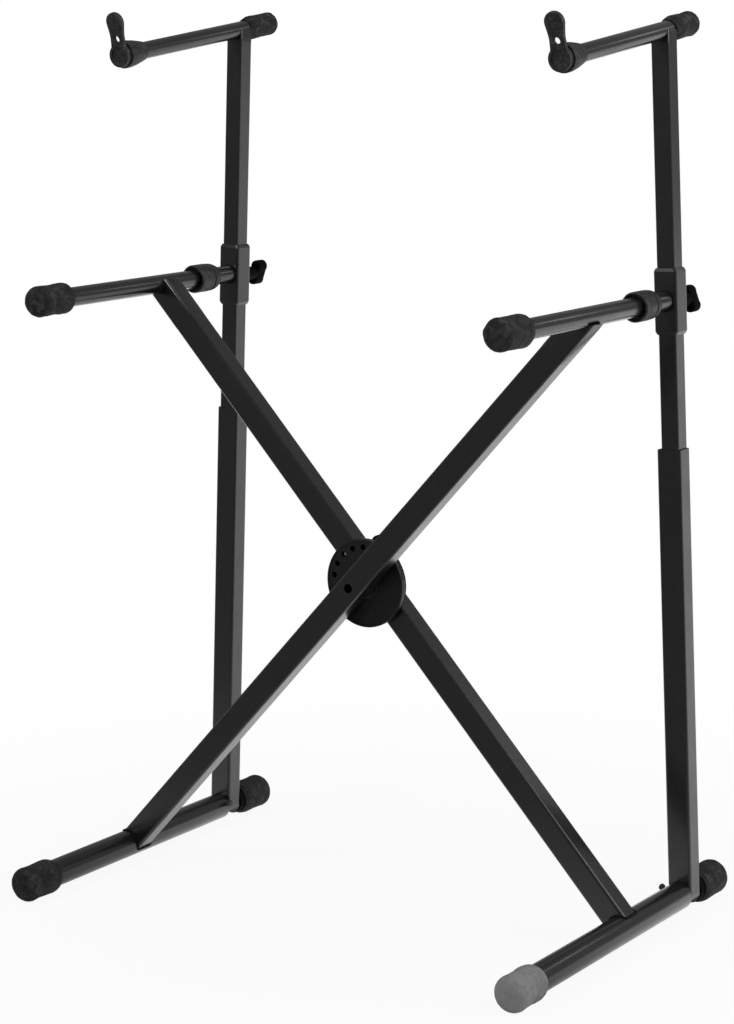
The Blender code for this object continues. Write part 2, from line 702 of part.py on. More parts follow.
def build_lower_arm(side, frame):
    """Lower tier arm with its rubber cap and the bush that the post's collar turns in."""
    name = SIDE_NAMES[side]
    inside = ARM_RADIUS - ARM_WALL
    tube = turned([
        (inside, ARM_FRONT), (ARM_RADIUS, ARM_FRONT), (ARM_RADIUS, ARM_REAR), (inside, ARM_REAR),
    ], ARM_STEPS)
    add_part("arm_lower_" + name, tube, BLACK_STEEL, frame)
    profile = cap_profile(
        ARM_CAP_FRONT, -1, ARM_CAP_LENGTH, ARM_CAP_RADIUS, ARM_CAP_FILLET, ARM_CAP_WAIST,
        ARM_RADIUS + CLEARANCE, ARM_CAP_END_THICKNESS,
    )
    cap = turned(profile, ARM_STEPS)
    add_part("arm_cap_lower_" + name, cap, RUBBER, frame)

    recess_radius = ARM_RADIUS + BUSH_RECESS_WIDTH
    tail_radius = SHAFT_RADIUS + BUSH_RECESS_WIDTH
    step = ARM_REAR + CLEARANCE
    bush = turned([
        (ARM_RADIUS + CLEARANCE, BUSH_FRONT + BUSH_RECESS_DEPTH),
        (recess_radius, BUSH_FRONT + BUSH_RECESS_DEPTH),
        (recess_radius, BUSH_FRONT),
        (BUSH_RADIUS - BUSH_EDGE, BUSH_FRONT),
        (BUSH_RADIUS, BUSH_FRONT + BUSH_EDGE),
        (BUSH_RADIUS, BUSH_GROOVE - BUSH_GROOVE_WIDTH),
        (BUSH_RADIUS - BUSH_EDGE, BUSH_GROOVE),
        (BUSH_RADIUS - BUSH_EDGE, BUSH_GROOVE + BUSH_GROOVE_WIDTH),
        (BUSH_RADIUS - BUSH_EDGE / 3, BUSH_GROOVE + 2 * BUSH_GROOVE_WIDTH),
        (BUSH_RADIUS - BUSH_EDGE / 2, BUSH_REAR - BUSH_TAPER),
        (tail_radius, BUSH_REAR),
        (SHAFT_RADIUS + RUNNING_FIT, BUSH_REAR),
        (SHAFT_RADIUS + RUNNING_FIT, step),
        (ARM_RADIUS + CLEARANCE, step),
    ], ARM_STEPS)
    add_part("swivel_bush_" + name, bush, PLASTIC, frame)


def build_outer_post(side, frame):
    """Outer tube of the telescoping post, round at the foot where it turns on the spindle."""
    name = SIDE_NAMES[side]
    post = add_part(
        "post_outer_" + name,
        rectangular_tube(
            POST_WIDTH, POST_DEPTH, POST_WALL, POST_CORNER, -POST_WIDTH, POST_TOP
        ),
        BLACK_STEEL,
        frame,
    )
    depth = 2 * POST_DEPTH
    half = POST_WIDTH / 2
    # Everything below the axis and outside the half circle is cut away.
    shoe = [(-2 * half, 0.0), (-half - CLEARANCE, 0.0)]
    shoe += arc(0.0, 0.0, half, math.pi, 2 * math.pi, ROUND_STEPS // 2)
    shoe += [(half + CLEARANCE, 0.0), (2 * half, 0.0), (2 * half, -3 * half), (-2 * half, -3 * half)]
    add_cutter("post_foot_round_" + name, post, plate(shoe, -depth / 2, depth / 2))
    bore = rod(SPINDLE_RADIUS + RUNNING_FIT, -depth / 2, depth / 2, ROUND_STEPS)
    add_cutter("post_spindle_hole_" + name, post, bore)


def build_collar(side, frame):
    """Sleeve round the inner post, carried on a shaft in the arm's bush."""
    name = SIDE_NAMES[side]
    full = rounded_rectangle(COLLAR_WIDTH, COLLAR_DEPTH, POST_CORNER)
    small = rounded_rectangle(
        COLLAR_BORE_WIDTH + 2 * COLLAR_END_WALL, COLLAR_BORE_DEPTH + 2 * COLLAR_END_WALL, POST_CORNER
    )
    bore = rounded_rectangle(COLLAR_BORE_WIDTH, COLLAR_BORE_DEPTH, INNER_CORNER)
    outer = [
        (small, -COLLAR_DOWN),
        (full, -COLLAR_DOWN + COLLAR_TAPER),
        (full, COLLAR_UP - COLLAR_TAPER),
        (small, COLLAR_UP),
    ]
    shape = sleeve(outer, [(bore, -COLLAR_DOWN), (bore, COLLAR_UP)])
    collar = add_part("collar_" + name, shape, BLACK_STEEL, frame)
    screw_hole = rod(KNOB_SCREW_RADIUS + RUNNING_FIT, 0.0, COLLAR_DEPTH)
    up = Matrix.Translation((0.0, 0.0, KNOB_HEIGHT))
    add_cutter("collar_screw_hole_" + name, collar, screw_hole, matrix=up)

    shaft_back = -COLLAR_DEPTH / 2 - CLEARANCE
    shoulder = ARM_REAR + 2 * CLEARANCE - POST_Y
    spigot_radius = ARM_RADIUS - ARM_WALL - RUNNING_FIT
    shaft = turned([
        (0.0, shoulder - SPIGOT_LENGTH),
        (spigot_radius - EDGE_BREAK, shoulder - SPIGOT_LENGTH),
        (spigot_radius, shoulder - SPIGOT_LENGTH + EDGE_BREAK),
        (spigot_radius, shoulder),
        (SHAFT_RADIUS, shoulder),
        (SHAFT_RADIUS, shaft_back),
        (0.0, shaft_back),
    ], ARM_STEPS)
    add_part("collar_shaft_" + name, shaft, BLACK_STEEL, frame)


def wing_outline():
    """Two round lobes joined by straight sides that are a little narrower."""
    centre = KNOB_SPAN / 2 - KNOB_LOBE_RADIUS
    meeting = math.pi - math.asin(KNOB_WAIST / 2 / KNOB_LOBE_RADIUS)
    points = arc(centre, 0.0, KNOB_LOBE_RADIUS, -meeting, meeting, SMALL_STEPS - 2)
    return points + [(-x, -z) for x, z in points]


def build_knob(side, frame):
    """Clamping screw through the collar's back wall, with its winged knob."""
    name = SIDE_NAMES[side]
    screw_front = INNER_DEPTH / 2 + CLEARANCE
    stem_front = COLLAR_DEPTH / 2 + CLEARANCE
    wing_back = stem_front + KNOB_STEM_LENGTH
    wing_front = wing_back - KNOB_THICKNESS
    screw = turned(
        [
            (0.0, screw_front),
            (KNOB_SCREW_RADIUS - EDGE_BREAK, screw_front),
            (KNOB_SCREW_RADIUS, screw_front + EDGE_BREAK),
            (KNOB_SCREW_RADIUS, wing_front),
            (0.0, wing_front),
        ],
        SMALL_STEPS,
    )
    add_part("knob_screw_" + name, screw, BRIGHT_STEEL, frame)

    wing = plate(wing_outline(), wing_front, wing_back)
    bevel_faces_of_plate(wing, KNOB_EDGE)
    bmesh.ops.transform(wing, matrix=Matrix.Rotation(side * KNOB_TURN, 4, "Y"), verts=wing.verts)
    knob = add_part("knob_" + name, wing, DARK_PLASTIC, frame)
    overlap = KNOB_THICKNESS / 2
    stem = turned([
        (0.0, stem_front),
        (KNOB_STEM_RADIUS - EDGE_BREAK, stem_front),
        (KNOB_STEM_RADIUS, stem_front + EDGE_BREAK),
        (KNOB_STEM_RADIUS - EDGE_BREAK, wing_front),
        (KNOB_WAIST / 3, wing_front + overlap),
        (0.0, wing_front + overlap),
    ], ARM_STEPS)
    add_cutter("knob_stem_" + name, knob, stem, "UNION")
    bore = rod(KNOB_SCREW_RADIUS + CLEARANCE, 0.0, wing_front + CLEARANCE)
    add_cutter("knob_bore_" + name, knob, bore)


def build_upper_tier(side, frame):
    """Inner post with the upper arm welded across its top, its cap and its front collar."""
    name = SIDE_NAMES[side]
    post = add_part(
        "post_inner_" + name,
        rectangular_tube(
            INNER_WIDTH, INNER_DEPTH, INNER_WALL, INNER_CORNER, -INNER_BELOW, INNER_ABOVE
        ),
        BLACK_STEEL,
        frame,
    )
    tilt = Matrix.Rotation(TOP_ARM_TILT, 4, "X")
    cope = rod(TOP_ARM_RADIUS + CLEARANCE, -2 * INNER_DEPTH, 2 * INNER_DEPTH, ROUND_STEPS)
    place = Matrix.Translation((0.0, 0.0, INNER_ABOVE)) @ tilt
    add_cutter("post_inner_cope_" + name, post, cope, matrix=place)
    above = (0.0, 0.0, INNER_WIDTH / 2 - TOP_SADDLE_DROP)
    crown = block(2 * INNER_WIDTH, 2 * INNER_DEPTH, INNER_WIDTH, above)
    add_cutter("post_inner_crown_" + name, post, crown, matrix=place)

    at = (0.0, 0.0, INNER_ABOVE)
    turn = (TOP_ARM_TILT, 0.0, 0.0)
    inside = TOP_ARM_RADIUS - TOP_ARM_WALL
    tube = turned([
        (inside, TOP_ARM_FRONT),
        (TOP_ARM_RADIUS, TOP_ARM_FRONT),
        (TOP_ARM_RADIUS, TOP_ARM_REAR),
        (inside, TOP_ARM_REAR),
    ], ARM_STEPS)
    add_part("arm_upper_" + name, tube, BLACK_STEEL, frame, at, turn)

    bore = TOP_ARM_RADIUS + CLEARANCE
    cap_end = TOP_ARM_REAR + TOP_CAP_END_THICKNESS + CLEARANCE
    profile = cap_profile(
        cap_end, 1, TOP_CAP_LENGTH, TOP_CAP_RADIUS, TOP_CAP_FILLET, TOP_CAP_WAIST, bore,
        TOP_CAP_END_THICKNESS,
    )
    add_part("arm_cap_upper_" + name, turned(profile, ARM_STEPS), RUBBER, frame, at, turn)

    front = TOP_ARM_FRONT - CLEARANCE
    face = front - TOP_COLLAR_FACE
    mouth = front + TOP_COLLAR_LENGTH
    stop_shaft = inside - RUNNING_FIT
    collar = turned([
        (stop_shaft + RUNNING_FIT, face),
        (TOP_COLLAR_RADIUS - EDGE_BREAK, face),
        (TOP_COLLAR_RADIUS, face + EDGE_BREAK),
        (TOP_COLLAR_RADIUS, front + TOP_COLLAR_LENGTH / 4),
        (TOP_COLLAR_RADIUS - EDGE_BREAK, front + TOP_COLLAR_LENGTH / 3),
        (TOP_COLLAR_RADIUS - EDGE_BREAK, front + TOP_COLLAR_LENGTH / 2),
        (bore + 2 * CAP_LIP, mouth - CAP_LIP_LENGTH),
        (bore + CAP_LIP, mouth),
        (bore, mouth),
        (bore, front),
        (stop_shaft + RUNNING_FIT, front),
    ], ARM_STEPS)
    add_part("arm_collar_upper_" + name, collar, PLASTIC, frame, at, turn)

    stop_frame = add_frame("end_stop_axis_" + name, frame, at)
    stop_frame.rotation_euler = turn
    build_end_stop(name, stop_frame, face - CLEARANCE, stop_shaft)


def tongue_outline():
    """Waisted tongue with a round head, in X and Z about the boss's centre."""
    head_z = STOP_REACH - STOP_HEAD_RADIUS
    foot_z = STOP_BOSS_RADIUS * 2 / 3
    foot_half = math.sqrt(STOP_BOSS_RADIUS**2 - foot_z**2)
    waist_z = STOP_REACH / 2
    points = [(foot_half, foot_z), (STOP_WAIST / 2, waist_z)]
    points += arc(0.0, head_z, STOP_HEAD_RADIUS, 0.0, math.pi, SMALL_STEPS - 2)
    points += [(-STOP_WAIST / 2, waist_z), (-foot_half, foot_z)]
    return points


def build_end_stop(name, frame, back, stop_shaft):
    """Flip-up stop: a boss that turns on the arm's end, and a tongue with an eye."""
    front = back - STOP_BOSS_THICKNESS
    dish_radius = STOP_BOSS_RADIUS - STOP_BOSS_RIM
    shaft_end = back + STOP_SHAFT_LENGTH
    boss = turned([
        (0.0, front + STOP_BOSS_DISH),
        (dish_radius, front + STOP_BOSS_DISH),
        (dish_radius, front),
        (STOP_BOSS_RADIUS - EDGE_BREAK, front),
        (STOP_BOSS_RADIUS, front + EDGE_BREAK),
        (STOP_BOSS_RADIUS, back - EDGE_BREAK),
        (STOP_BOSS_RADIUS - EDGE_BREAK, back),
        (stop_shaft, back),
        (stop_shaft, shaft_end),
        (0.0, shaft_end),
    ], ARM_STEPS)
    stop = add_part("end_stop_" + name, boss, PLASTIC, frame)
    tongue_back = back - EDGE_BREAK
    tongue = plate(tongue_outline(), tongue_back - STOP_THICKNESS, tongue_back)
    bevel_faces_of_plate(tongue, STOP_EDGE)
    eye = rod(STOP_EYE_RADIUS, -STOP_REACH, STOP_REACH)
    # The tongue leans forward about the boss's centre.
    hinge = Matrix.Translation((0.0, tongue_back - STOP_THICKNESS / 2, 0.0))
    lean = hinge @ Matrix.Rotation(STOP_LEAN, 4, "X") @ hinge.inverted()
    add_cutter("end_stop_tongue_" + name, stop, tongue, "UNION", lean)
    eye_place = hinge @ Matrix.Rotation(STOP_LEAN, 4, "X") @ Matrix.Translation((0.0, 0.0, STOP_EYE_UP))
    add_cutter("end_stop_eye_" + name, stop, eye, matrix=eye_place)


def build():
    clear_scene()
    tilt = math.pi / 2 - LEG_ANGLE
    front_leg = add_frame("front_leg_axis", None, (0.0, 0.0, HUB_Z), tilt)
    rear_leg = add_frame("rear_leg_axis", None, (0.0, 0.0, HUB_Z), -tilt)
    build_cross(front_leg, rear_leg)
    build_index_disc(front_leg)
    build_pivot(front_leg, rear_leg)
    build_lock(rear_leg)
    for side in (LEFT, RIGHT):
        name = SIDE_NAMES[side]
        # The left base tube and the right arm are on the front leg, the others on the rear leg.
        base_leg = front_leg if side == LEFT else rear_leg
        arm_leg = rear_leg if side == LEFT else front_leg
        base = add_frame("base_axis_" + name, base_leg, (0, 0, -LEG_LOWER), side * tilt)
        arm = add_frame("arm_axis_" + name, arm_leg, (0, 0, LEG_UPPER), -side * tilt)
        lean = -side * POST_LEAN
        post = add_frame("post_axis_" + name, base, (0.0, POST_Y, 0.0), lean)
        collar = add_frame("collar_axis_" + name, arm, (0.0, POST_Y, 0.0), lean)
        knob = add_frame("knob_axis_" + name, collar, (0.0, 0.0, KNOB_HEIGHT))
        slider = add_frame("upper_tier_axis_" + name, collar)
        build_base(side, base)
        build_lower_arm(side, arm)
        build_outer_post(side, post)
        build_collar(side, collar)
        build_knob(side, knob)
        build_upper_tier(side, slider)


build()
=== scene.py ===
import itertools
import json
import math

import bmesh
import bpy
from mathutils import Matrix, Vector, noise


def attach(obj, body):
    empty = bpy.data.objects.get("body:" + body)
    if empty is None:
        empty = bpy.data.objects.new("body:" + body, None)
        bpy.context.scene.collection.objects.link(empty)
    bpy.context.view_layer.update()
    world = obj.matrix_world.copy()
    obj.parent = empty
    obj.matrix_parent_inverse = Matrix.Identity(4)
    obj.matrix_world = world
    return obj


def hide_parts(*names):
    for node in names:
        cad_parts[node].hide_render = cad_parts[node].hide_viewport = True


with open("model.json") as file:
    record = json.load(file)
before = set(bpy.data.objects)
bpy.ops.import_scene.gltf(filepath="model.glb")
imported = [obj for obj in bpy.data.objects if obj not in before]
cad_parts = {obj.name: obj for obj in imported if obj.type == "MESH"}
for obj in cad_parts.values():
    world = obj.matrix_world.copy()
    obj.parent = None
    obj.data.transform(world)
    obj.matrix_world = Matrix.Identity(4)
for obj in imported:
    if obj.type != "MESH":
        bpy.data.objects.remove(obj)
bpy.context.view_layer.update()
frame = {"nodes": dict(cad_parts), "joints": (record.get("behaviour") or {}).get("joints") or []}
nodes = frame["nodes"]
joints = {joint["name"]: joint for joint in frame["joints"]}
sides = ("left", "right")
sideSigns = {"left": -1, "right": 1}

print("stage: frame loaded")


# Axes of the stand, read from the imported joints

hub = Vector(joints["scissor"]["pos_m"])


def makeAxes(side):
    baseAt, armAt, stopAt, knobAt = [
        Vector(joints[name + "_turn_" + side]["pos_m"]) for name in ("post", "collar", "stop", "knob")
    ]
    slide = Vector(joints["tier_slide_" + side]["axis"])
    along = Vector(joints["stop_turn_" + side]["axis"])
    if along.y < 0:
        along = -along
    lean = Matrix.Rotation(math.atan2(slide.x, slide.z), 4, "Y")
    tilt = Matrix.Rotation(math.atan2(math.hypot(along.x, along.z), along.y), 4, "X")
    return {
        "base": Matrix.Translation((baseAt.x, 0, baseAt.z)),
        "arm": Matrix.Translation((armAt.x, 0, armAt.z)),
        "collar": Matrix.Translation(armAt) @ lean,
        "knob": Matrix.Translation(knobAt) @ lean,
        "top": Matrix.Translation(stopAt) @ lean @ tilt,
    }


def hubReach(at):
    return (Vector((at.x, 0, at.z)) - Vector((0, 0, hub.z))).length


axes = {side: makeAxes(side) for side in sides}
baseLeft = axes["left"]["base"].translation
legLower = hubReach(baseLeft)
legAngle = math.atan2(hub.z - baseLeft.z, -baseLeft.x)
legUpper = hubReach(axes["right"]["arm"].translation)
legTurn = math.pi / 2 - legAngle
legAxes = {
    "front": Matrix.Translation((0, 0, hub.z)) @ Matrix.Rotation(legTurn, 4, "Y"),
    "rear": Matrix.Translation((0, 0, hub.z)) @ Matrix.Rotation(-legTurn, 4, "Y"),
}
bodyOfBase = {"left": "front_leg", "right": "rear_leg"}
bodyOfArm = {"left": "rear_leg", "right": "front_leg"}


def localExtent(node, place):
    inverse = place.inverted()
    points = [inverse @ vertex.co for vertex in nodes[node].data.vertices]
    low = Vector([min(point[axis] for point in points) for axis in range(3)])
    high = Vector([max(point[axis] for point in points) for axis in range(3)])
    return low, high


def roundExtent(node, place):
    low, high = localExtent(node, place)
    return {"start": low.y, "end": high.y, "radius": (high.z - low.z) / 2}


def addObject(name, data):
    item = bpy.data.objects.new(name, data)
    bpy.context.scene.collection.objects.link(item)
    return item


def meshOf(name, shape):
    mesh = bpy.data.meshes.new(name)
    shape.to_mesh(mesh)
    shape.free()
    return mesh


# Procedural materials

def setInputs(node, values):
    for socket, value in values.items():
        node.inputs[socket].default_value = value


def addNode(tree, kind, values=(), links=()):
    node = tree.nodes.new("ShaderNode" + kind)
    setInputs(node, dict(values))
    for socket, source in dict(links).items():
        tree.links.new(source, node.inputs[socket])
    return node


def startMaterial(name, baseColour, roughness, metallic=0.0, specular=0.5):
    material = bpy.data.materials.new(name)
    material.use_nodes = True
    tree = material.node_tree
    shader = tree.nodes["Principled BSDF"]
    setInputs(shader, {
        "Base Color": (*baseColour, 1), "Roughness": roughness, "Metallic": metallic,
        "Specular IOR Level": specular,
    })
    return material, tree, shader, addNode(tree, "TexCoord").outputs["Object"]


def addNoise(tree, where, scale, detail=3.0, roughness=0.55, distortion=0.0):
    values = {"Scale": scale, "Detail": detail, "Roughness": roughness, "Distortion": distortion}
    return addNode(tree, "TexNoise", values, {"Vector": where}).outputs["Fac"]


def addSpread(tree, value, span, result):
    values = zip(("From Min", "From Max", "To Min", "To Max"), (*span, *result))
    return addNode(tree, "MapRange", values, {"Value": value}).outputs["Result"]


def grey(value):
    return (value, value, value * 1.03)  # a trace of blue


def tint(tree, shader, value, tone, shares):
    ramp = addNode(tree, "ValToRGB", links={"Fac": value})
    elements = ramp.color_ramp.elements
    while len(elements) < len(shares):
        elements.new(0.5)
    for element, (position, share) in zip(elements, shares):
        element.position = position
        element.color = (*grey(tone * share), 1)
    tree.links.new(ramp.outputs["Color"], shader.inputs["Base Color"])


noiseSpan = (0.3, 0.7)  # where most of a noise texture's values lie


def roughen(tree, shader, value, span):
    tree.links.new(addSpread(tree, value, noiseSpan, span), shader.inputs["Roughness"])


def addBumps(tree, shader, layers):
    links = {}
    for value, strength, distance in layers:
        links["Height"] = value
        bump = addNode(tree, "Bump", {"Strength": strength, "Distance": distance}, links)
        links["Normal"] = bump.outputs["Normal"]
    tree.links.new(links["Normal"], shader.inputs["Normal"])


def makeCoat(name, settings):
    tone = settings["tone"]
    material, tree, shader, where = startMaterial(name, grey(tone), 0.35, 0.0, settings["specular"])
    cloud = addNoise(tree, where, settings["cloudScale"], 4)
    tint(tree, shader, cloud, tone, settings["clouds"])
    smear = addNoise(tree, where, settings["smearScale"], 5, 0.6, 0.4)
    roughen(tree, shader, smear, settings["roughness"])
    peel = addNoise(tree, where, settings["peelScale"], 2, 0.5)
    grain = addNoise(tree, where, settings["peelScale"] * settings["grainFineness"], 2, 0.5)
    addBumps(tree, shader, [
        (peel, settings["peel"], settings["peelDepth"]),
        (grain, settings["peel"] * settings["grainShare"], settings["grainDepth"]),
    ])
    setInputs(shader, {
        "Coat Weight": settings["coat"], "Coat IOR": settings["coatIor"],
        "Coat Roughness": settings["coatRoughness"],
    })
    return material


def makeRubber(name, settings):
    tone = settings["tone"]
    material, tree, shader, where = startMaterial(name, grey(tone), 0.8, 0.0, settings["specular"])
    mottle = addNoise(tree, where, settings["mottleScale"], 5, 0.62, 0.8)
    tint(tree, shader, mottle, tone, [(0.28, settings["shade"]), (0.50, 1.0), (0.68, settings["scuff"])])
    wear = addNoise(tree, where, settings["mottleScale"] * settings["wearShare"], 4)
    roughen(tree, shader, wear, settings["roughness"])
    turn = [math.radians(angle) for angle in settings["slant"]]
    slanted = addNode(tree, "Mapping", {"Rotation": turn, "Scale": settings["stretch"]}, {"Vector": where})
    wrinkle = addNoise(tree, slanted.outputs["Vector"], settings["wrinkleScale"], 4, 0.6, 1.2)
    grain = addNoise(tree, where, settings["grainScale"], 2, 0.5)
    addBumps(tree, shader, [
        (wrinkle, settings["wrinkle"], settings["wrinkleDepth"]),
        (grain, settings["grain"], settings["grainDepth"]),
    ])
    return material


def makeMetal(name, settings):
    tone = settings["tone"]
    material, tree, shader, where = startMaterial(name, grey(tone), 0.25, 1.0)
    cloud = addNoise(tree, where, settings["cloudScale"], 4)
    tint(tree, shader, cloud, tone, settings["clouds"])
    brushed = addNoise(tree, where, settings["brushScale"], 3, 0.6, 0.2)
    roughen(tree, shader, brushed, settings["roughness"])
    addBumps(tree, shader, [(brushed, settings["brush"], settings["brushDepth"])])
    return material


coatSettings = dict(
    tone=0.0042, specular=0.28, roughness=(0.34, 0.50),
    cloudScale=210, clouds=[(0.32, 0.6), (0.52, 1.0), (0.70, 1.8)], smearScale=24,
    peelScale=420, peel=0.32, peelDepth=0.0004,
    grainFineness=3.4, grainShare=0.6, grainDepth=0.0001,
    coat=1.0, coatIor=1.50, coatRoughness=0.20,
)
# painted shade, in part: the darker tone is partly the own black finish of the base stubs and spindles and
# partly shade of the gaps behind the posts where they sit
matteSettings = dict(
    coatSettings, tone=0.0026, specular=0.06, roughness=(0.55, 0.75), coat=0.0, peelScale=500, peel=0.3
)
weldSettings = dict(matteSettings, tone=0.0055, specular=0.12)
discSettings = dict(coatSettings, tone=0.0065, roughness=(0.42, 0.56), coat=0.35)
rubberSettings = dict(
    tone=0.0200, specular=0.25, roughness=(0.60, 0.85),
    mottleScale=95, shade=0.45, scuff=2.7, wearShare=0.45,
    wrinkleScale=62, wrinkle=2.0, wrinkleDepth=0.0012,
    stretch=(1.0, 0.40, 1.0), slant=(38, 0, 12),
    grainScale=2400, grain=0.35, grainDepth=0.0002,
)
wornRubberSettings = dict(
    rubberSettings, tone=0.019, shade=0.25, scuff=3.2, wrinkle=3.2, mottleScale=120, wrinkleScale=80
)
# painted light: a mid-grey copy of the cap rubber that stands for flash light on the right front foot cap,
# which is otherwise like the other black caps
flashLitRubberSettings = dict(rubberSettings, tone=0.260, shade=0.78, scuff=1.10, wrinkle=0.35)
plasticSettings = dict(
    rubberSettings, tone=0.020, specular=0.40, roughness=(0.38, 0.60), scuff=3.0, mottleScale=150,
    wrinkle=0.8,
)
knobSettings = dict(
    rubberSettings, tone=0.0014, specular=0.06, roughness=(0.6, 0.8), wrinkle=0.12, scuff=1.6
)
zincSettings = dict(
    tone=0.62, roughness=(0.20, 0.36), cloudScale=160, clouds=[(0.35, 0.82), (0.65, 1.0)],
    brushScale=900, brush=0.12, brushDepth=0.0001,
)

materials = dict(
    coat=makeCoat("blackCoat", coatSettings),
    disc=makeCoat("discCoat", discSettings),
    weld=makeCoat("weldCoat", weldSettings),
    matte=makeCoat("matteCoat", matteSettings),
    rubber=makeRubber("capRubber", rubberSettings),
    wornRubber=makeRubber("wornCapRubber", wornRubberSettings),
    flashLitRubber=makeRubber("flashLitCapRubber", flashLitRubberSettings),
    plastic=makeRubber("mouldedPlastic", plasticSettings),
    knob=makeRubber("knobPlastic", knobSettings),
    zinc=makeMetal("zincSteel", zincSettings),
    darkZinc=makeMetal("darkSteel", dict(zincSettings, tone=0.16, roughness=(0.30, 0.46))),
)

print("stage: materials made")


# Shapes

gap = 0.0003  # left between pieces that touch
closeBy = 1e-7  # coordinates this near are the same
tubeSteps = 72  # segments of the larger round pieces
sharpAngle = 32


def arcPoints(centreX, centreY, radius, start, end, steps):
    angles = [start + (end - start) * step / steps for step in range(steps + 1)]
    return [(centreX + radius * math.cos(a), centreY + radius * math.sin(a)) for a in angles]


# A profile's point is its radius, its place along the axis and, where it has one, its rounding
def filletPath(points, steps=4, cornerShare=0.49):
    rounded = []
    for index, point in enumerate(points):
        here = Vector(point[:2])
        size = point[2] if len(point) > 2 else 0.0
        if size == 0.0 or index in (0, len(points) - 1):
            rounded.append(tuple(here))
            continue
        before = Vector(points[index - 1][:2]) - here
        after = Vector(points[index + 1][:2]) - here
        reach = min(size, before.length * cornerShare, after.length * cornerShare)
        start = here + before.normalized() * reach
        end = here + after.normalized() * reach
        for step in range(steps + 1):
            t = step / steps
            rounded.append(tuple(start * (1 - t) ** 2 + here * 2 * t * (1 - t) + end * t * t))
    return rounded


def splineThrough(points, steps=6):
    closed = [points[0]] + points + [points[-1]]
    path = []
    for index in range(1, len(closed) - 2):
        a, b, c, d = [Vector(p) for p in closed[index - 1:index + 3]]
        for step in range(steps):
            t = step / steps
            path.append(tuple(0.5 * (
                2 * b + (c - a) * t + (2 * a - 5 * b + 4 * c - d) * t * t + (3 * b - a - 3 * c + d) * t ** 3
            )))
    path.append(tuple(points[-1]))
    return path


def ringPath(radius, along, steps=48):
    points = arcPoints(0.0, 0.0, radius, 0.0, math.tau, steps)[:-1]
    return [(x, along, z) for x, z in points]


# A profile that starts off the axis closes on itself as a ring
def lathe(profile, segments=64):
    shape = bmesh.new()
    points = [shape.verts.new((max(radius, 0.0), along, 0)) for radius, along in profile]
    pairs = list(zip(points, points[1:]))
    if profile[0][0] > closeBy:
        pairs.append((points[-1], points[0]))
    edges = [shape.edges.new(pair) for pair in pairs]
    bmesh.ops.spin(
        shape, geom=points + edges, cent=(0, 0, 0), axis=(0, 1, 0), angle=math.tau, steps=segments,
        use_merge=True,
    )
    bmesh.ops.remove_doubles(shape, verts=shape.verts, dist=1e-6)
    bmesh.ops.recalc_face_normals(shape, faces=shape.faces)
    return shape


def turned(points, segments=64, solid=False):
    if solid:
        points = [(0.0, points[0][1]), *points, (0.0, points[-1][1])]
    return lathe(filletPath(points), segments)


def extrudeOutline(shape, points, way):
    face = shape.faces.new([shape.verts.new(point) for point in points])
    grown = bmesh.ops.extrude_face_region(shape, geom=[face])
    moved = [found for found in grown["geom"] if isinstance(found, bmesh.types.BMVert)]
    bmesh.ops.translate(shape, verts=moved, vec=way)
    bmesh.ops.recalc_face_normals(shape, faces=shape.faces)


def roundRim(shape, rim, size, segments):
    bmesh.ops.bevel(
        shape, geom=rim, affect="EDGES", offset=size, offset_type="OFFSET",
        segments=segments, profile=0.5, material=-1,
    )


def plate(outline, start, end, bevel, segments):
    shape = bmesh.new()
    extrudeOutline(shape, [(x, start, z) for x, z in outline], (0, end - start, 0))
    rim = [e for e in shape.edges if abs(e.verts[0].co.y - e.verts[1].co.y) < closeBy]
    roundRim(shape, rim, bevel, segments)
    return shape


# Weld beads follow a path with a slightly uneven thickness
weldForms = dict(
    shaft=dict(bead=0.0013, sides=10, ripple=0.12),
    lock=dict(bead=0.0013, sides=8, ripple=0.14),
    legFoot=dict(bead=0.0019, sides=10, ripple=0.14),
    legArm=dict(bead=0.0020, sides=10, ripple=0.15),
    tier=dict(bead=0.0016, sides=8, ripple=0.15),
)
beadForm = dict(wave=1.9, lumpScale=700, endShare=0.55)


def weldShape(points, kind, closedPath):
    form = weldForms[kind]
    shape = bmesh.new()
    rings = []
    count = len(points)
    for index, point in enumerate(points):
        here = Vector(point)
        if closedPath:
            ahead = Vector(points[(index + 1) % count])
            behind = Vector(points[index - 1])
        else:
            ahead = Vector(points[min(index + 1, count - 1)])
            behind = Vector(points[max(index - 1, 0)])
        along = (ahead - behind).normalized()
        helper = Vector((0, 0, 1)) if abs(along.z) < 0.9 else Vector((1, 0, 0))
        across = along.cross(helper).normalized()
        up = across.cross(along)
        wave = math.sin(index * beadForm["wave"])
        lump = noise.noise(here * beadForm["lumpScale"])
        size = form["bead"] * (1 + form["ripple"] * wave + form["ripple"] * lump)
        if not closedPath and index in (0, count - 1):
            size *= beadForm["endShare"]
        turn = Matrix((across, up, along)).transposed().to_4x4()
        circle = bmesh.ops.create_circle(
            shape, segments=form["sides"], radius=size, matrix=Matrix.Translation(here) @ turn
        )
        ring = [edge for vertex in circle["verts"] for edge in vertex.link_edges]
        rings.append(list(dict.fromkeys(ring)))
    pairs = list(zip(rings, rings[1:]))
    if closedPath:
        pairs.append((rings[-1], rings[0]))
    for ring, following in pairs:
        bmesh.ops.bridge_loops(shape, edges=ring + following)
    if not closedPath:
        bmesh.ops.holes_fill(shape, edges=rings[0] + rings[-1])
    bmesh.ops.recalc_face_normals(shape, faces=shape.faces)
    return shape


def cutFlat(shape, height):
    geometry = shape.verts[:] + shape.edges[:] + shape.faces[:]
    cut = bmesh.ops.bisect_plane(
        shape, geom=geometry, plane_co=(0, 0, height), plane_no=(0, 0, -1), clear_outer=True
    )
    rim = [found for found in cut["geom_cut"] if isinstance(found, bmesh.types.BMEdge)]
    bmesh.ops.holes_fill(shape, edges=rim)
    bmesh.ops.recalc_face_normals(shape, faces=shape.faces)


def isEndPlane(normal):
    return abs(normal.y) > 0.9995


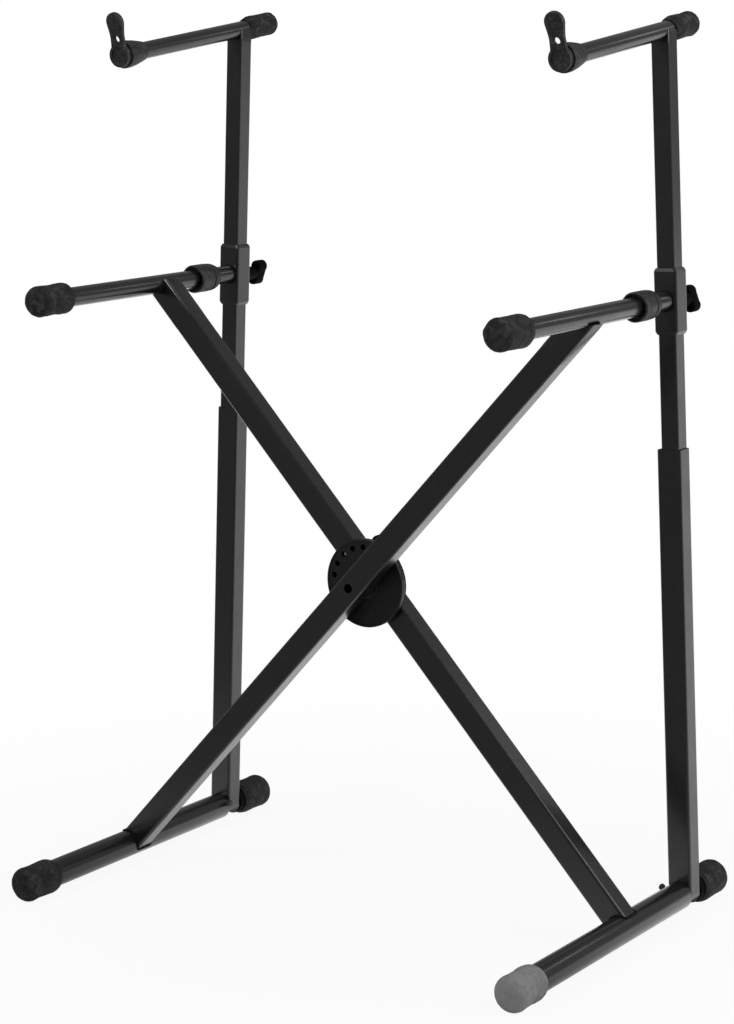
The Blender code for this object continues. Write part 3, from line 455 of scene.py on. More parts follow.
def place(name, shape, matrix, body, material, replaced=(), sharp=sharpAngle):
    shape.normal_update()
    for face in shape.faces:
        face.smooth = not isEndPlane(face.normal)
    if matrix is not None:
        bmesh.ops.transform(shape, matrix=matrix, verts=shape.verts)
    mesh = meshOf(name, shape)
    mesh.set_sharp_from_angle(angle=math.radians(sharp))
    mesh.materials.append(materials[material])
    piece = addObject(name, mesh)
    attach(piece, body)
    if replaced:
        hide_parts(*replaced)
    return piece


def cutHoles(piece, cutters, bevel=0.0):
    shape = bmesh.new()
    for cutter in cutters:
        part = meshOf("cutterPart", cutter)
        shape.from_mesh(part)
        bpy.data.meshes.remove(part)
    helper = addObject(piece.name + "Cutter", meshOf(piece.name + "Cutter", shape))
    boolean = piece.modifiers.new("holes", "BOOLEAN")
    boolean.object = helper
    boolean.operation = "DIFFERENCE"
    if bevel:
        rounding = piece.modifiers.new("rounding", "BEVEL")
        rounding.width = bevel
        rounding.segments = 2
        rounding.limit_method = "ANGLE"
        rounding.angle_limit = math.radians(40)
    applyModifiers(piece)
    bpy.data.objects.remove(helper)


def applyModifiers(piece):
    bpy.context.view_layer.update()
    graph = bpy.context.evaluated_depsgraph_get()
    mesh = bpy.data.meshes.new_from_object(piece.evaluated_get(graph), depsgraph=graph)
    mesh.name = piece.name
    piece.modifiers.clear()
    piece.data = mesh
    for face in mesh.polygons:
        face.use_smooth = not isEndPlane(face.normal)
    mesh.set_sharp_from_angle(angle=math.radians(sharpAngle))


def movePiece(piece, matrix):
    piece.data.transform(matrix)
    piece.data.update()


# Rubber caps on every tube end

capForm = dict(
    fillet=0.0125, crown=0.0012, crownPoint=(0.6, 0.35), waist=0.0008, waistAt=0.45,
    swelling=0.16, swellingRun=0.006, shoulder=(0.35, 0.45),
    mouth=0.0022, mouthRise=0.10, lip=0.0014, boreBand=0.012, endThickness=0.008,
    ribs=0, ribDepth=0.0, ribZone=0.42, ribMargin=0.006, stations=46,
    skin=0.00025, skinScale=120, skinBias=0.35, skinAbove=0.0002, skinEnd=0.004,
)
footRearForm = dict(capForm, fillet=0.0115, waist=0.0005, ribs=5, ribDepth=0.00060)
capForms = dict(
    footFrontLeft=dict(capForm, skin=0.00035),
    footFrontRight=dict(capForm, ribs=6, ribDepth=0.00130),
    footRearLeft=footRearForm,
    footRearRight=footRearForm,
    armLower=dict(
        capForm, fillet=0.0115, waist=0.0007, swelling=0.17, skin=0.00075, skinScale=95, endThickness=0.006
    ),
    armUpper=dict(
        capForm, fillet=0.0092, waist=0.0006, swelling=0.19, skin=0.00060, skinScale=130,
        endThickness=0.0067,
    ),
)


def capRadius(u, length, radius, lip, form):
    swelling = length * form["swelling"]
    drop, dropAt = form["shoulder"]
    path = splineThrough([
        (radius, form["fillet"]),
        (radius - form["waist"], length * form["waistAt"]),
        (radius, length - swelling - form["swellingRun"]),
        (radius, length - swelling),
        (radius - (radius - lip) * drop, length - swelling * dropAt),
        (lip + (radius - lip) * form["mouthRise"], length - form["mouth"]),
    ], 6)
    for (firstRadius, first), (nextRadius, following) in zip(path, path[1:]):
        if first <= u <= following:
            share = (u - first) / max(following - first, 1e-9)
            return firstRadius + (nextRadius - firstRadius) * share
    return path[-1][0]


def capShape(extent, facing, bore, form, seed):
    length = extent["end"] - extent["start"]
    end = extent["end"] if facing > 0 else extent["start"]
    radius = extent["radius"]
    lip = bore + form["lip"]
    crown = form["crown"]
    fillet = form["fillet"]
    pointRadius, pointDrop = form["crownPoint"]
    profile = [(0.0, 0.0), ((radius - fillet) * pointRadius, crown * pointDrop)]
    for x, y in arcPoints(radius - fillet, -fillet, fillet, math.pi / 2, 0.0, 8):
        profile.append((x, -y + crown * (1 - max(0.0, -y) / fillet)))
    mouthStart = length - form["mouth"]
    ribZone = length * form["ribZone"]
    for station in range(1, form["stations"] + 1):
        u = fillet + (mouthStart - fillet) * station / form["stations"]
        here = capRadius(u, length, radius, lip, form)
        depthIn = (length - form["ribMargin"]) - u
        if form["ribs"] and 0 < depthIn < ribZone:
            phase = depthIn / ribZone * form["ribs"]
            here -= form["ribDepth"] * (0.5 - 0.5 * math.cos(math.tau * phase))
        profile.append((here, u))
    profile += filletPath([
        (profile[-1][0], mouthStart), (lip, length, 0.0008), (bore, length, 0.0004),
        (bore, length - form["boreBand"]),
    ])[1:]
    profile += [(bore, form["endThickness"]), (0.0, form["endThickness"])]
    shape = lathe([(r, end - facing * u) for r, u in profile], tubeSteps)
    offset = Vector((seed * 3.1, seed * 1.7, seed * 0.9))
    for vertex in shape.verts:
        away = Vector((vertex.co.x, 0, vertex.co.z))
        isOutside = away.length > bore + form["skinAbove"] or abs(vertex.co.y - end) < form["skinEnd"]
        if isOutside and away.length > 1e-6:
            lump = noise.fractal(vertex.co * form["skinScale"] + offset, 1.0, 2.0, 3)
            vertex.co += away.normalized() * form["skin"] * (lump - form["skinBias"])
    return shape


capSeeds = itertools.count(1)


def buildCaps(side):
    label = side.capitalize()
    spot = axes[side]["base"]
    bore = roundExtent("base_tube_" + side, spot)["radius"] + gap
    for end, facing in (("front", -1), ("rear", 1)):
        node = "foot_cap_" + end + "_" + side
        form = capForms["foot" + end.capitalize() + label]
        shape = capShape(roundExtent(node, spot), facing, bore, form, next(capSeeds))
        bmesh.ops.transform(shape, matrix=spot, verts=shape.verts)
        cutFlat(shape, 0.0)
        # painted light: the right front foot cap takes the mid-grey rubber that stands for flash light on
        # it
        finish = "flashLitRubber" if (side, end) == ("right", "front") else "rubber"
        place("footCap" + end.capitalize() + label, shape, None, bodyOfBase[side], finish, [node])
    for kind, axis, facing, body, finish in (
        ("lower", "arm", -1, bodyOfArm[side], "rubber"),
        ("upper", "top", 1, "tier_" + side, "wornRubber"),
    ):
        spot = axes[side][axis]
        bore = roundExtent("arm_" + kind + "_" + side, spot)["radius"] + gap
        node = "arm_cap_" + kind + "_" + side
        form = capForms["arm" + kind.capitalize()]
        shape = capShape(roundExtent(node, spot), facing, bore, form, next(capSeeds))
        place("armCap" + kind.capitalize() + label, shape, spot, body, finish, [node])


for side in sides:
    buildCaps(side)
print("stage: caps made")


# Round tubes of the bases and the arms

tubeForm = dict(baseWall=0.0018, armWall=0.0015, rounding=0.0004, seam=0.001)


def tubeShape(extent, wall):
    outer = extent["radius"]
    inner = outer - wall
    middle = (extent["start"] + extent["end"]) / 2
    rounding = tubeForm["rounding"]
    return turned([
        (inner, middle),
        (inner, extent["start"], rounding), (outer, extent["start"], rounding),
        (outer, extent["end"], rounding), (inner, extent["end"], rounding),
        (inner, middle + tubeForm["seam"]),
    ], tubeSteps)


def rodShape(radius, start, end):
    return turned([(radius, start), (radius, end)], 40, True)


def buildTubes(side):
    for name, node, axis, wall, body, finish in (
        ("baseTube", "base_tube_", "base", "baseWall", bodyOfBase[side], "coat"),
        # the stub's darker matte tone is partly painted shade of the gap behind the post
        ("baseStub", "base_stub_", "base", "baseWall", bodyOfBase[side], "matte"),
        ("armLower", "arm_lower_", "arm", "armWall", bodyOfArm[side], "coat"),
        ("armUpper", "arm_upper_", "top", "armWall", "tier_" + side, "coat"),
    ):
        spot = axes[side][axis]
        shape = tubeShape(roundExtent(node + side, spot), tubeForm[wall])
        place(name + side.capitalize(), shape, spot, body, finish, [node + side])


for side in sides:
    buildTubes(side)
print("stage: tubes made")


# Swivel bushes, collar shafts and the weld that joins a shaft to its collar

bushForm = dict(
    recess=0.0050, recessRing=0.0035, shoulder=0.0014, ringShare=0.60,
    groove=0.0018, grooveStart=0.0006, grooveEnd=0.0028, grooveLip=0.0036,
    taper=0.007, tail=0.0036, play=0.0005,
)
shaftForm = dict(spigot=0.0021, step=0.0006, weldRadius=0.0124, weldInset=0.0006)


def bushShape(extent, armExtent, shaftRadius):
    start, end, radius = extent["start"], extent["end"], extent["radius"]
    armBore = armExtent["radius"] + gap
    recess = start + bushForm["recess"]
    recessRadius = armBore + bushForm["recessRing"]
    ringEnd = start + (end - start) * bushForm["ringShare"]
    grooveRadius = radius - bushForm["groove"]
    shaftBore = shaftRadius + bushForm["play"]
    step = armExtent["end"] + gap
    return turned([
        (armBore, recess),
        (recessRadius, recess, 0.0005),
        (recessRadius, start, 0.0005),
        (radius - bushForm["shoulder"], start, 0.0008),
        (radius, start + bushForm["shoulder"], 0.0010),
        (radius, ringEnd, 0.0008),
        (grooveRadius, ringEnd + bushForm["grooveStart"], 0.0004),
        (grooveRadius, ringEnd + bushForm["grooveEnd"], 0.0004),
        (radius - 0.0003, ringEnd + bushForm["grooveLip"], 0.0008),
        (radius - 0.0008, end - bushForm["taper"], 0.003),
        (shaftRadius + bushForm["tail"], end, 0.0008),
        (shaftBore, end, 0.0003),
        (shaftBore, step),
        (armBore, step),
    ], tubeSteps)


def buildBushes(side):
    label = side.capitalize()
    arm = axes[side]["arm"]
    armExtent = roundExtent("arm_lower_" + side, arm)
    shaft = roundExtent("collar_shaft_" + side, arm)
    shape = bushShape(roundExtent("swivel_bush_" + side, arm), armExtent, shaft["radius"])
    place("swivelBush" + label, shape, arm, bodyOfArm[side], "plastic", ["swivel_bush_" + side])
    spigot = armExtent["radius"] - shaftForm["spigot"]
    step = armExtent["end"] + shaftForm["step"]
    shape = turned([
        (spigot, shaft["start"], 0.001), (spigot, step),
        (shaft["radius"], step, 0.0004), (shaft["radius"], shaft["end"]),
    ], solid=True)
    body = "collar_body_" + side
    place("collarShaft" + label, shape, arm, body, "coat", ["collar_shaft_" + side])
    ring = ringPath(shaftForm["weldRadius"], shaft["end"] - shaftForm["weldInset"])
    place("collarWeld" + label, weldShape(ring, "shaft", True), arm, body, "weld")


for side in sides:
    buildBushes(side)
print("stage: bushes made")


# Welds between the legs, the tubes and the posts

legBeads = dict(
    corner=0.004, widthExtra=0.0004, depthExtra=0.0010,
    armLift=0.0004, armSlope=15, armSpread=24, armRun=0.98,
)
tierBeads = dict(lift=1.03, start=-160, turn=140, steps=18)


def roundedBox(width, depth, corner, steps=5):
    across = width / 2 - corner
    along = depth / 2 - corner
    outline = []
    for quarter, (signX, signY) in enumerate(((1, 1), (-1, 1), (-1, -1), (1, -1))):
        start = quarter * math.pi / 2
        outline += arcPoints(signX * across, signY * along, corner, start, start + math.pi / 2, steps)
    return outline


def densify(points, spacing=0.002):
    dense = []
    for index, point in enumerate(points):
        here = Vector(point)
        following = Vector(points[(index + 1) % len(points)])
        count = max(1, int((following - here).length / spacing))
        dense += [tuple(here.lerp(following, step / count)) for step in range(count)]
    return dense


def buildLegWelds(name, side, other):
    leg = legAxes[name]
    label = name.capitalize()
    low, high = localExtent("leg_" + name, leg)
    width = high.x - low.x
    depth = high.y - low.y
    centreY = (high.y + low.y) / 2
    baseRadius = roundExtent("base_tube_" + side, axes[side]["base"])["radius"]
    outline = roundedBox(
        width + legBeads["widthExtra"], depth + legBeads["depthExtra"], legBeads["corner"]
    )
    saddle = []
    for x, y in densify(outline):
        reach = math.sqrt(max(baseRadius ** 2 - x * x, 0.0))
        saddle.append((x, y + centreY, -legLower + reach))
    place("legFootWeld" + label, weldShape(saddle, "legFoot", True), leg, bodyOfBase[side], "weld")
    arm = axes[other]["arm"]
    reach = roundExtent("arm_lower_" + other, arm)["radius"] + legBeads["armLift"]
    slope = sideSigns[other] * math.radians(legBeads["armSlope"])
    for number, offset in enumerate((-1, 1)):
        angle = -math.pi / 2 + slope + offset * math.radians(legBeads["armSpread"])
        x = reach * math.cos(angle)
        z = reach * math.sin(angle)
        run = [(x, centreY + depth * (step / 14 - 0.5) * legBeads["armRun"], z) for step in range(15)]
        bead = weldShape(run, "legArm", False)
        place("legArmWeld" + label + str(number), bead, arm, bodyOfArm[other], "weld")


def buildTierWelds(side):
    top = axes[side]["top"]
    reach = roundExtent("arm_upper_" + side, top)["radius"] * tierBeads["lift"]
    low, high = localExtent("post_inner_" + side, axes[side]["collar"])
    halfDepth = (high.y - low.y) / 2
    start = math.radians(tierBeads["start"])
    end = math.radians(tierBeads["start"] + tierBeads["turn"])
    arc = arcPoints(0.0, 0.0, reach, start, end, tierBeads["steps"])
    for number, y in enumerate((-halfDepth, halfDepth)):
        bead = weldShape([(x, y, z) for x, z in arc], "tier", False)
        place("tierWeld" + side.capitalize() + str(number), bead, top, "tier_" + side, "weld")


buildLegWelds("front", "left", "right")
buildLegWelds("rear", "right", "left")
for side in sides:
    buildTierWelds(side)
print("stage: welds made")


# Notched tube ends: a leg takes the lower arm in its end, and a post takes the upper arm

saddleForm = dict(
    proud=0.0004, bevel=0.0006, legCorner=0.0037, legFrom=0.064, legTo=0.003,
    postCorner=0.0028, postFrom=0.014, postTo=0.001,
)


def saddleShape(low, high, corner, start, end):
    centre = (low + high) / 2
    width = high.x - low.x + saddleForm["proud"]
    depth = high.y - low.y + saddleForm["proud"]
    outline = [(centre.x + x, centre.y + y, start) for x, y in roundedBox(width, depth, corner)]
    shape = bmesh.new()
    extrudeOutline(shape, outline, (0, 0, end - start))
    rim = [e for e in shape.edges if all(abs(v.co.z - end) < closeBy for v in e.verts)]
    roundRim(shape, rim, saddleForm["bevel"], 2)
    return shape


def buildSaddles():
    for name, side in (("front", "right"), ("rear", "left")):
        leg = legAxes[name]
        start = legUpper - saddleForm["legFrom"]
        end = legUpper - saddleForm["legTo"]
        shape = saddleShape(*localExtent("leg_" + name, leg), saddleForm["legCorner"], start, end)
        place("legSaddle" + name.capitalize(), shape, leg, bodyOfArm[side], "coat")
    for side in sides:
        post = axes[side]["collar"]
        low, high = localExtent("post_inner_" + side, post)
        tierHeight = (post.inverted() @ axes[side]["top"].translation).z
        start = high.z - saddleForm["postFrom"]
        shape = saddleShape(low, high, saddleForm["postCorner"], start, tierHeight + saddleForm["postTo"])
        place("tierSaddle" + side.capitalize(), shape, post, "tier_" + side, "coat")


buildSaddles()
print("stage: saddles made")


# Hub: index disc, pivot and locking pin

discForm = dict(
    thickness=0.008, rim=0.003, inset=0.0008, web=0.003, bossRadius=0.019, bore=0.0043,
    circle=0.0475, hole=0.0038, holeMargin=0.004,
    step=math.radians(20), folding=4, spreading=2,
)
boltForm = dict(
    headHeight=0.007, socketShare=0.50, socketFloorShare=0.42, socketDepth=0.004,
    socketWall=0.0036, shank=0.004,
)
nutForm = dict(across=0.0129, chamfer=0.0008, bore=0.0042, bevel=0.0003, margin=0.002)
backForm = dict(bore=0.0044, overlap=0.003, pinHole=0.0035, margin=0.004)


def buildDisc():
    extent = roundExtent("index_disc", legAxes["front"])
    radius = extent["radius"]
    back = extent["end"]
    front = back - discForm["thickness"]
    web = front + discForm["inset"]
    webBack = web + discForm["web"]
    rimInside = radius - discForm["rim"]
    boss = discForm["bossRadius"]
    shape = turned([
        (discForm["bore"], extent["start"]),
        (boss, extent["start"], 0.0006),
        (boss, web, 0.0012),
        (rimInside, web, 0.0006),
        (rimInside, front, 0.0006),
        (radius, front, 0.0014),
        (radius, back, 0.0014),
        (rimInside, back, 0.0006),
        (rimInside, webBack, 0.0006),
        (boss, webBack, 0.0006),
        (boss, back, 0.0006),
        (discForm["bore"], back),
    ], 128)
    disc = place("indexDisc", shape, None, "front_leg", "disc", ["index_disc"])
    atRest = -(math.pi - 2 * legAngle)
    cutters = []
    for number in range(-discForm["spreading"], discForm["folding"] + 1):
        hole = rodShape(discForm["hole"], front - discForm["holeMargin"], back + discForm["holeMargin"])
        turn = Matrix.Rotation(atRest + number * discForm["step"], 4, "Y")
        spot = turn @ Matrix.Translation((0, 0, discForm["circle"]))
        bmesh.ops.transform(hole, matrix=spot, verts=hole.verts)
        cutters.append(hole)
    cutHoles(disc, cutters)
    movePiece(disc, legAxes["front"])


def buildPivot():
    front = legAxes["front"]
    bolt = roundExtent("pivot_bolt", front)
    head = bolt["radius"]
    headEnd = bolt["start"] + boltForm["headHeight"]
    shank = boltForm["shank"]
    shape = turned([
        (0.0, bolt["start"] + boltForm["socketDepth"]),
        (head * boltForm["socketFloorShare"], bolt["start"] + boltForm["socketWall"]),
        (head * boltForm["socketShare"], bolt["start"], 0.0003),
        (head, bolt["start"], 0.0012),
        (head, headEnd, 0.0003),
        (shank, headEnd, 0.0003),
        (shank, bolt["end"], 0.0009),
        (0.0, bolt["end"]),
    ], 48)
    place("pivotBolt", shape, front, "front_leg", "darkZinc", ["pivot_bolt"])

    nut = roundExtent("pivot_nut", front)
    start, end = nut["start"], nut["end"]
    radius = nutForm["across"] / math.sqrt(3)
    chamfer = nutForm["chamfer"]
    shape = turned([
        (radius - chamfer, start), (radius, start + chamfer * 0.6),
        (radius, end - chamfer * 0.6), (radius - chamfer, end),
    ], 6, True)
    piece = place("pivotNut", shape, None, "front_leg", "zinc", ["pivot_nut"], 20)
    bore = rodShape(nutForm["bore"], start - nutForm["margin"], end + nutForm["margin"])
    cutHoles(piece, [bore], nutForm["bevel"])
    movePiece(piece, front)

    rear = legAxes["rear"]
    washer = roundExtent("hub_washer", rear)
    start, end = washer["start"], washer["end"]
    radius = washer["radius"] + backForm["overlap"]
    shape = turned([
        (backForm["bore"], start), (radius, start, 0.0007), (radius, end, 0.0007),
        (backForm["bore"], end),
    ], 96)
    piece = place("hubWasher", shape, None, "rear_leg", "knob", ["hub_washer"])
    hole = rodShape(backForm["pinHole"], start - backForm["margin"], end + backForm["margin"])
    bmesh.ops.translate(hole, verts=hole.verts, vec=(0, 0, discForm["circle"]))
    cutHoles(piece, [hole])
    movePiece(piece, rear)


lockForm = dict(
    bore=0.0035, body=0.009, neck=0.0072, neckLength=0.002, neckTaper=0.0045, flange=0.0035,
    weldOut=0.0003, weldInset=0.0004, pin=0.0031, pinChamfer=0.0010, pinTip=0.0012,
)
pullForm = dict(
    bore=0.0034, foot=0.68, waist=0.60, waistAt=0.25, grip=0.94, gripAt=0.42,
    ribs=3, groove=0.0008, ribSpan=(0.15, 0.72), grooveSpan=(0.80, 0.97),
    crown=0.003, crownEdge=0.0028, crownShares=(0.93, 0.72), crownDip=0.0004,
)


def buildLock():
    low, high = localExtent("lock_housing", legAxes["rear"])
    spot = legAxes["rear"] @ Matrix.Translation((0, 0, (low.z + high.z) / 2))
    housing = roundExtent("lock_housing", spot)
    start, end, flangeRadius = housing["start"], housing["end"], housing["radius"]
    bore, body, neck = lockForm["bore"], lockForm["body"], lockForm["neck"]
    flangeBack = start + lockForm["flange"]
    shape = turned([
        (bore, start), (flangeRadius, start, 0.0005), (flangeRadius, flangeBack, 0.0008),
        (body, flangeBack, 0.0010), (body, end - lockForm["neckTaper"], 0.0012),
        (neck, end - lockForm["neckLength"], 0.0010), (neck, end, 0.0004), (bore, end, 0.0003),
    ])
    place("lockHousing", shape, spot, "rear_leg", "coat", ["lock_housing"])
    ring = ringPath(flangeRadius + lockForm["weldOut"], start + lockForm["weldInset"])
    place("lockWeld", weldShape(ring, "lock", True), spot, "rear_leg", "weld")

    pin = roundExtent("lock_pin", spot)
    radius = lockForm["pin"]
    shape = turned([
        (radius - lockForm["pinChamfer"], pin["start"], 0.0004),
        (radius, pin["start"] + lockForm["pinTip"], 0.0006), (radius, pin["end"]),
    ], 40, True)
    place("lockPin", shape, spot, "lock_plunger", "zinc", ["lock_pin"])

    pull = roundExtent("lock_knob", spot)
    start, end, radius = pull["start"], pull["end"], pull["radius"]
    length = end - start
    gripStart = start + length * pullForm["gripAt"]
    profile = [
        (0.0, pin["end"] + gap), (pullForm["bore"], pin["end"] + gap), (pullForm["bore"], start, 0.0003),
        (radius * pullForm["foot"], start, 0.0006),
        (radius * pullForm["waist"], start + length * pullForm["waistAt"], 0.0020),
        (radius * pullForm["grip"], gripStart, 0.0015),
    ]
    pitch = (end - pullForm["crown"] - start - length * pullForm["gripAt"]) / pullForm["ribs"]
    for rib in range(pullForm["ribs"]):
        at = gripStart + rib * pitch
        profile += [(radius, at + pitch * share, 0.0005) for share in pullForm["ribSpan"]]
        groove = radius - pullForm["groove"]
        profile += [(groove, at + pitch * share, 0.0003) for share in pullForm["grooveSpan"]]
    edge, face = pullForm["crownShares"]
    profile += [
        (radius * edge, end - pullForm["crownEdge"], 0.0010), (radius * face, end, 0.0020),
        (0.0, end - pullForm["crownDip"]),
    ]
    place("lockKnob", turned(profile), spot, "lock_plunger", "knob", ["lock_knob"])


buildDisc()
buildPivot()
buildLock()
print("stage: hub made")


# Spindles and detent screws at the post feet

spindleForm = dict(thread=0.009)
screwForm = dict(
    stem=0.0022, stemDepth=0.0018, rise=20, foot=0.0033, waist=0.0029, neck=0.0218,
    head=0.0046, headFoot=0.86, headTop=0.70, headHeights=(0.0018, 0.0034, 0.0058, 0.0064),
)


def screwShape(seat):
    stem, neck, head = screwForm["stem"], screwForm["neck"], screwForm["head"]
    rim, rimTop, shoulder, crown = [neck + height for height in screwForm["headHeights"]]
    stemEnd = seat - screwForm["stemDepth"]
    return turned([
        (0.0, stemEnd), (stem, stemEnd), (stem, seat), (screwForm["foot"], seat, 0.0003),
        (screwForm["waist"], neck, 0.0003), (head * screwForm["headFoot"], neck, 0.0006),
        (head, rim, 0.0008), (head, rimTop, 0.0012), (head * screwForm["headTop"], shoulder, 0.0014),
        (0.0, crown),
    ], 40)


def buildFeet(side):
    label = side.capitalize()
    base = axes[side]["base"]
    spindle = roundExtent("spindle_" + side, base)
    tube = roundExtent("base_tube_" + side, base)
    thread = spindleForm["thread"]
    shape = turned([
        (spindle["radius"], spindle["start"], 0.0006), (spindle["radius"], tube["end"], 0.0005),
        (thread, tube["end"], 0.0004), (thread, spindle["end"], 0.0008),
    ], 56, True)
    # the spindle's darker matte tone is partly painted shade of the gap behind the post
    place("spindle" + label, shape, base, bodyOfBase[side], "matte", ["spindle_" + side])
    low, high = localExtent("detent_screw_" + side, base)
    inward = -sideSigns[side] * (math.pi / 2 - math.radians(screwForm["rise"]))
    upright = Matrix.Rotation(inward, 4, "Y") @ Matrix.Rotation(math.pi / 2, 4, "X")
    spot = base @ Matrix.Translation((0, (low.y + high.y) / 2, 0)) @ upright
    shape = screwShape(tube["radius"] + gap)
    place("detentScrew" + label, shape, spot, bodyOfBase[side], "plastic", ["detent_screw_" + side])


for side in sides:
    buildFeet(side)
print("stage: feet made")


# Clamping knobs behind the collars

knobForm = dict(
    span=0.0355, lobe=0.0085, waist=0.0160, thickness=0.0195, bevel=0.0034, inset=0.0002,
    turn=math.radians(72), bore=0.0040, stem=0.0098, stemEdge=0.0006,
    stemRim=(0.0012, 0.010), stemGroove=0.0008, grooveAt=0.012,
    shoulder=0.003, nose=0.0066, noseIn=0.005, tip=0.0046, tipIn=0.008,
)


def wingOutline():
    lobe = knobForm["lobe"]
    centre = knobForm["span"] / 2 - lobe
    meeting = math.pi - math.asin(knobForm["waist"] / 2 / lobe)
    side = arcPoints(centre, 0.0, lobe, -meeting, meeting, 32)
    return side + [(-x, -z) for x, z in side]


def stemShape(start, front):
    stem, bore, tipEnd = knobForm["stem"], knobForm["bore"], front + knobForm["tipIn"]
    rim, rimEnd = [start + along for along in knobForm["stemRim"]]
    groove = stem - knobForm["stemGroove"]
    return turned([
        (bore, start), (stem - knobForm["stemEdge"], start, 0.0006), (stem, rim, 0.0006),
        (stem, rimEnd, 0.0006), (groove, start + knobForm["grooveAt"], 0.0010),
        (groove, front - knobForm["shoulder"], 0.0020),
        (knobForm["nose"], front + knobForm["noseIn"], 0.0030), (knobForm["tip"], tipEnd), (bore, tipEnd),
    ], 48)


def buildKnobs(side):
    label = side.capitalize()
    spot = axes[side]["knob"]
    low, high = localExtent("knob_" + side, spot)
    back = high.y - knobForm["inset"]
    front = back - knobForm["thickness"]
    wing = plate(wingOutline(), front, back, knobForm["bevel"], 4)
    turn = Matrix.Rotation(sideSigns[side] * knobForm["turn"], 4, "Y")
    bmesh.ops.transform(wing, matrix=turn, verts=wing.verts)
    body = "knob_body_" + side
    place("knobWing" + label, wing, spot, body, "knob", ["knob_" + side], 50)
    place("knobStem" + label, stemShape(low.y, front), spot, body, "knob")
    screw = roundExtent("knob_screw_" + side, spot)
    shape = turned([(screw["radius"], screw["start"], 0.0006), (screw["radius"], screw["end"])], 32, True)
    place("knobScrew" + label, shape, spot, body, "zinc", ["knob_screw_" + side])


for side in sides:
    buildKnobs(side)
print("stage: knobs made")


# Upper tier: front collars and flip-up stops

sleeveForm = dict(
    opening=0.0097, face=0.003, waist=(0.0011, 0.0009), waistSpan=(0.30, 0.40, 0.47),
    taper=0.005, taperRise=0.0024, lip=0.0012,
)
stopForm = dict(
    reach=0.0572, head=0.013, headFrom=-12, waist=0.0205, waistAt=0.45, footShare=0.68,
    thickness=0.0065, edge=0.0016, setBack=0.0008, lean=math.radians(9),
    eyeUp=0.0218, eye=0.0049, eyeMargin=0.01,
    boss=0.01525, bossThickness=0.0085, dish=0.0018, dishShare=0.7,
    spigot=0.0092, spigotLength=0.020,
)


def tongueOutline():
    boss, head = stopForm["boss"], stopForm["head"]
    headZ = stopForm["reach"] - head
    headFrom = math.radians(stopForm["headFrom"])
    footZ = boss * stopForm["footShare"]
    footHalf = math.sqrt(boss ** 2 - footZ ** 2)
    right = splineThrough([
        (footHalf, footZ), (stopForm["waist"] / 2, stopForm["reach"] * stopForm["waistAt"]),
        (head * math.cos(headFrom), headZ + head * math.sin(headFrom)),
    ], 8)[:-1]
    crown = arcPoints(0.0, headZ, head, headFrom, math.pi - headFrom, 32)
    return right + crown + [(-x, z) for x, z in right[::-1]]


def tierCollarShape(start, end, radius, armRadius):
    length = end - start
    bore = armRadius + gap
    opening, inside = sleeveForm["opening"], start + sleeveForm["face"]
    deep, shallow = [radius - depth for depth in sleeveForm["waist"]]
    ringEnd, waistStart, waistEnd = [start + length * share for share in sleeveForm["waistSpan"]]
    return turned([
        (opening, start), (radius, start, 0.0012), (radius, ringEnd, 0.002),
        (deep, waistStart, 0.0012), (shallow, waistEnd, 0.003),
        (bore + sleeveForm["taperRise"], end - sleeveForm["taper"], 0.004),
        (bore + sleeveForm["lip"], end, 0.0006), (bore, end, 0.0003),
        (bore, inside), (opening, inside),
    ], tubeSteps)


def bossShape(front, back):
    boss, spigot = stopForm["boss"], stopForm["spigot"]
    dish, dishFloor = boss * stopForm["dishShare"], front + stopForm["dish"]
    spigotEnd = back + stopForm["spigotLength"]
    return turned([
        (dish, dishFloor, 0.0008), (dish, front, 0.0006), (boss, front, 0.0014),
        (boss, back, 0.0010), (spigot, back, 0.0003), (spigot, spigotEnd, 0.0008),
    ], solid=True)


def buildStops(side):
    label = side.capitalize()
    top = axes[side]["top"]
    low, high = localExtent("arm_collar_upper_" + side, top)
    armRadius = roundExtent("arm_upper_" + side, top)["radius"]
    shape = tierCollarShape(low.y, high.y, (high.x - low.x) / 2, armRadius)
    place("armCollarUpper" + label, shape, top, "tier_" + side, "plastic", ["arm_collar_upper_" + side])
    body = "stop_" + side
    back = low.y - gap
    shape = bossShape(back - stopForm["bossThickness"], back)
    place("stopBoss" + label, shape, top, body, "plastic", ["end_stop_" + side])
    tongueBack = back - stopForm["setBack"]
    tongueFront = tongueBack - stopForm["thickness"]
    tongue = plate(tongueOutline(), tongueFront, tongueBack, stopForm["edge"], 3)
    piece = place("stopTongue" + label, tongue, None, body, "plastic")
    margin = stopForm["eyeMargin"]
    eye = rodShape(stopForm["eye"], tongueFront - margin, tongueBack + margin)
    bmesh.ops.translate(eye, verts=eye.verts, vec=(0, 0, stopForm["eyeUp"]))
    cutHoles(piece, [eye])
    hinge = Matrix.Translation((0, (tongueFront + tongueBack) / 2, 0))
    lean = hinge @ Matrix.Rotation(stopForm["lean"], 4, "X") @ hinge.inverted()
    movePiece(piece, top @ lean)


for side in sides:
    buildStops(side)
print("stage: stops made")


# The legs, posts and collars keep their solids and take the coat

def dressNode(name, material):
    mesh = nodes[name].data
    mesh.materials.clear()
    mesh.materials.append(materials[material])


for name in ("leg_front", "leg_rear"):
    dressNode(name, "coat")
for side in sides:
    for name in ("post_outer_", "post_inner_", "collar_"):
        dressNode(name + side, "coat")
print("stage: frame tubes dressed")


# Floor, light and camera

# painted light: in reflections the floor glows dimmer towards the front and at full strength towards the
# rear, over glossReach, standing for the lamps' light falling across the floor
stageLight = dict(
    world=0.22, floor=0.86, reach=(0.35, 1.2), glow=(0.92, 1.0),
    glossReach=(-0.5, 0.35), reflectedFloorShade=(0.78, 0.0),
)


def addMath(tree, operation, first, second):
    step = tree.nodes.new("ShaderNodeMath")
    step.operation = operation
    for socket, value in zip(step.inputs, (first, second)):
        if isinstance(value, float):
            socket.default_value = value
        else:
            tree.links.new(value, socket)
    return step.outputs[0]


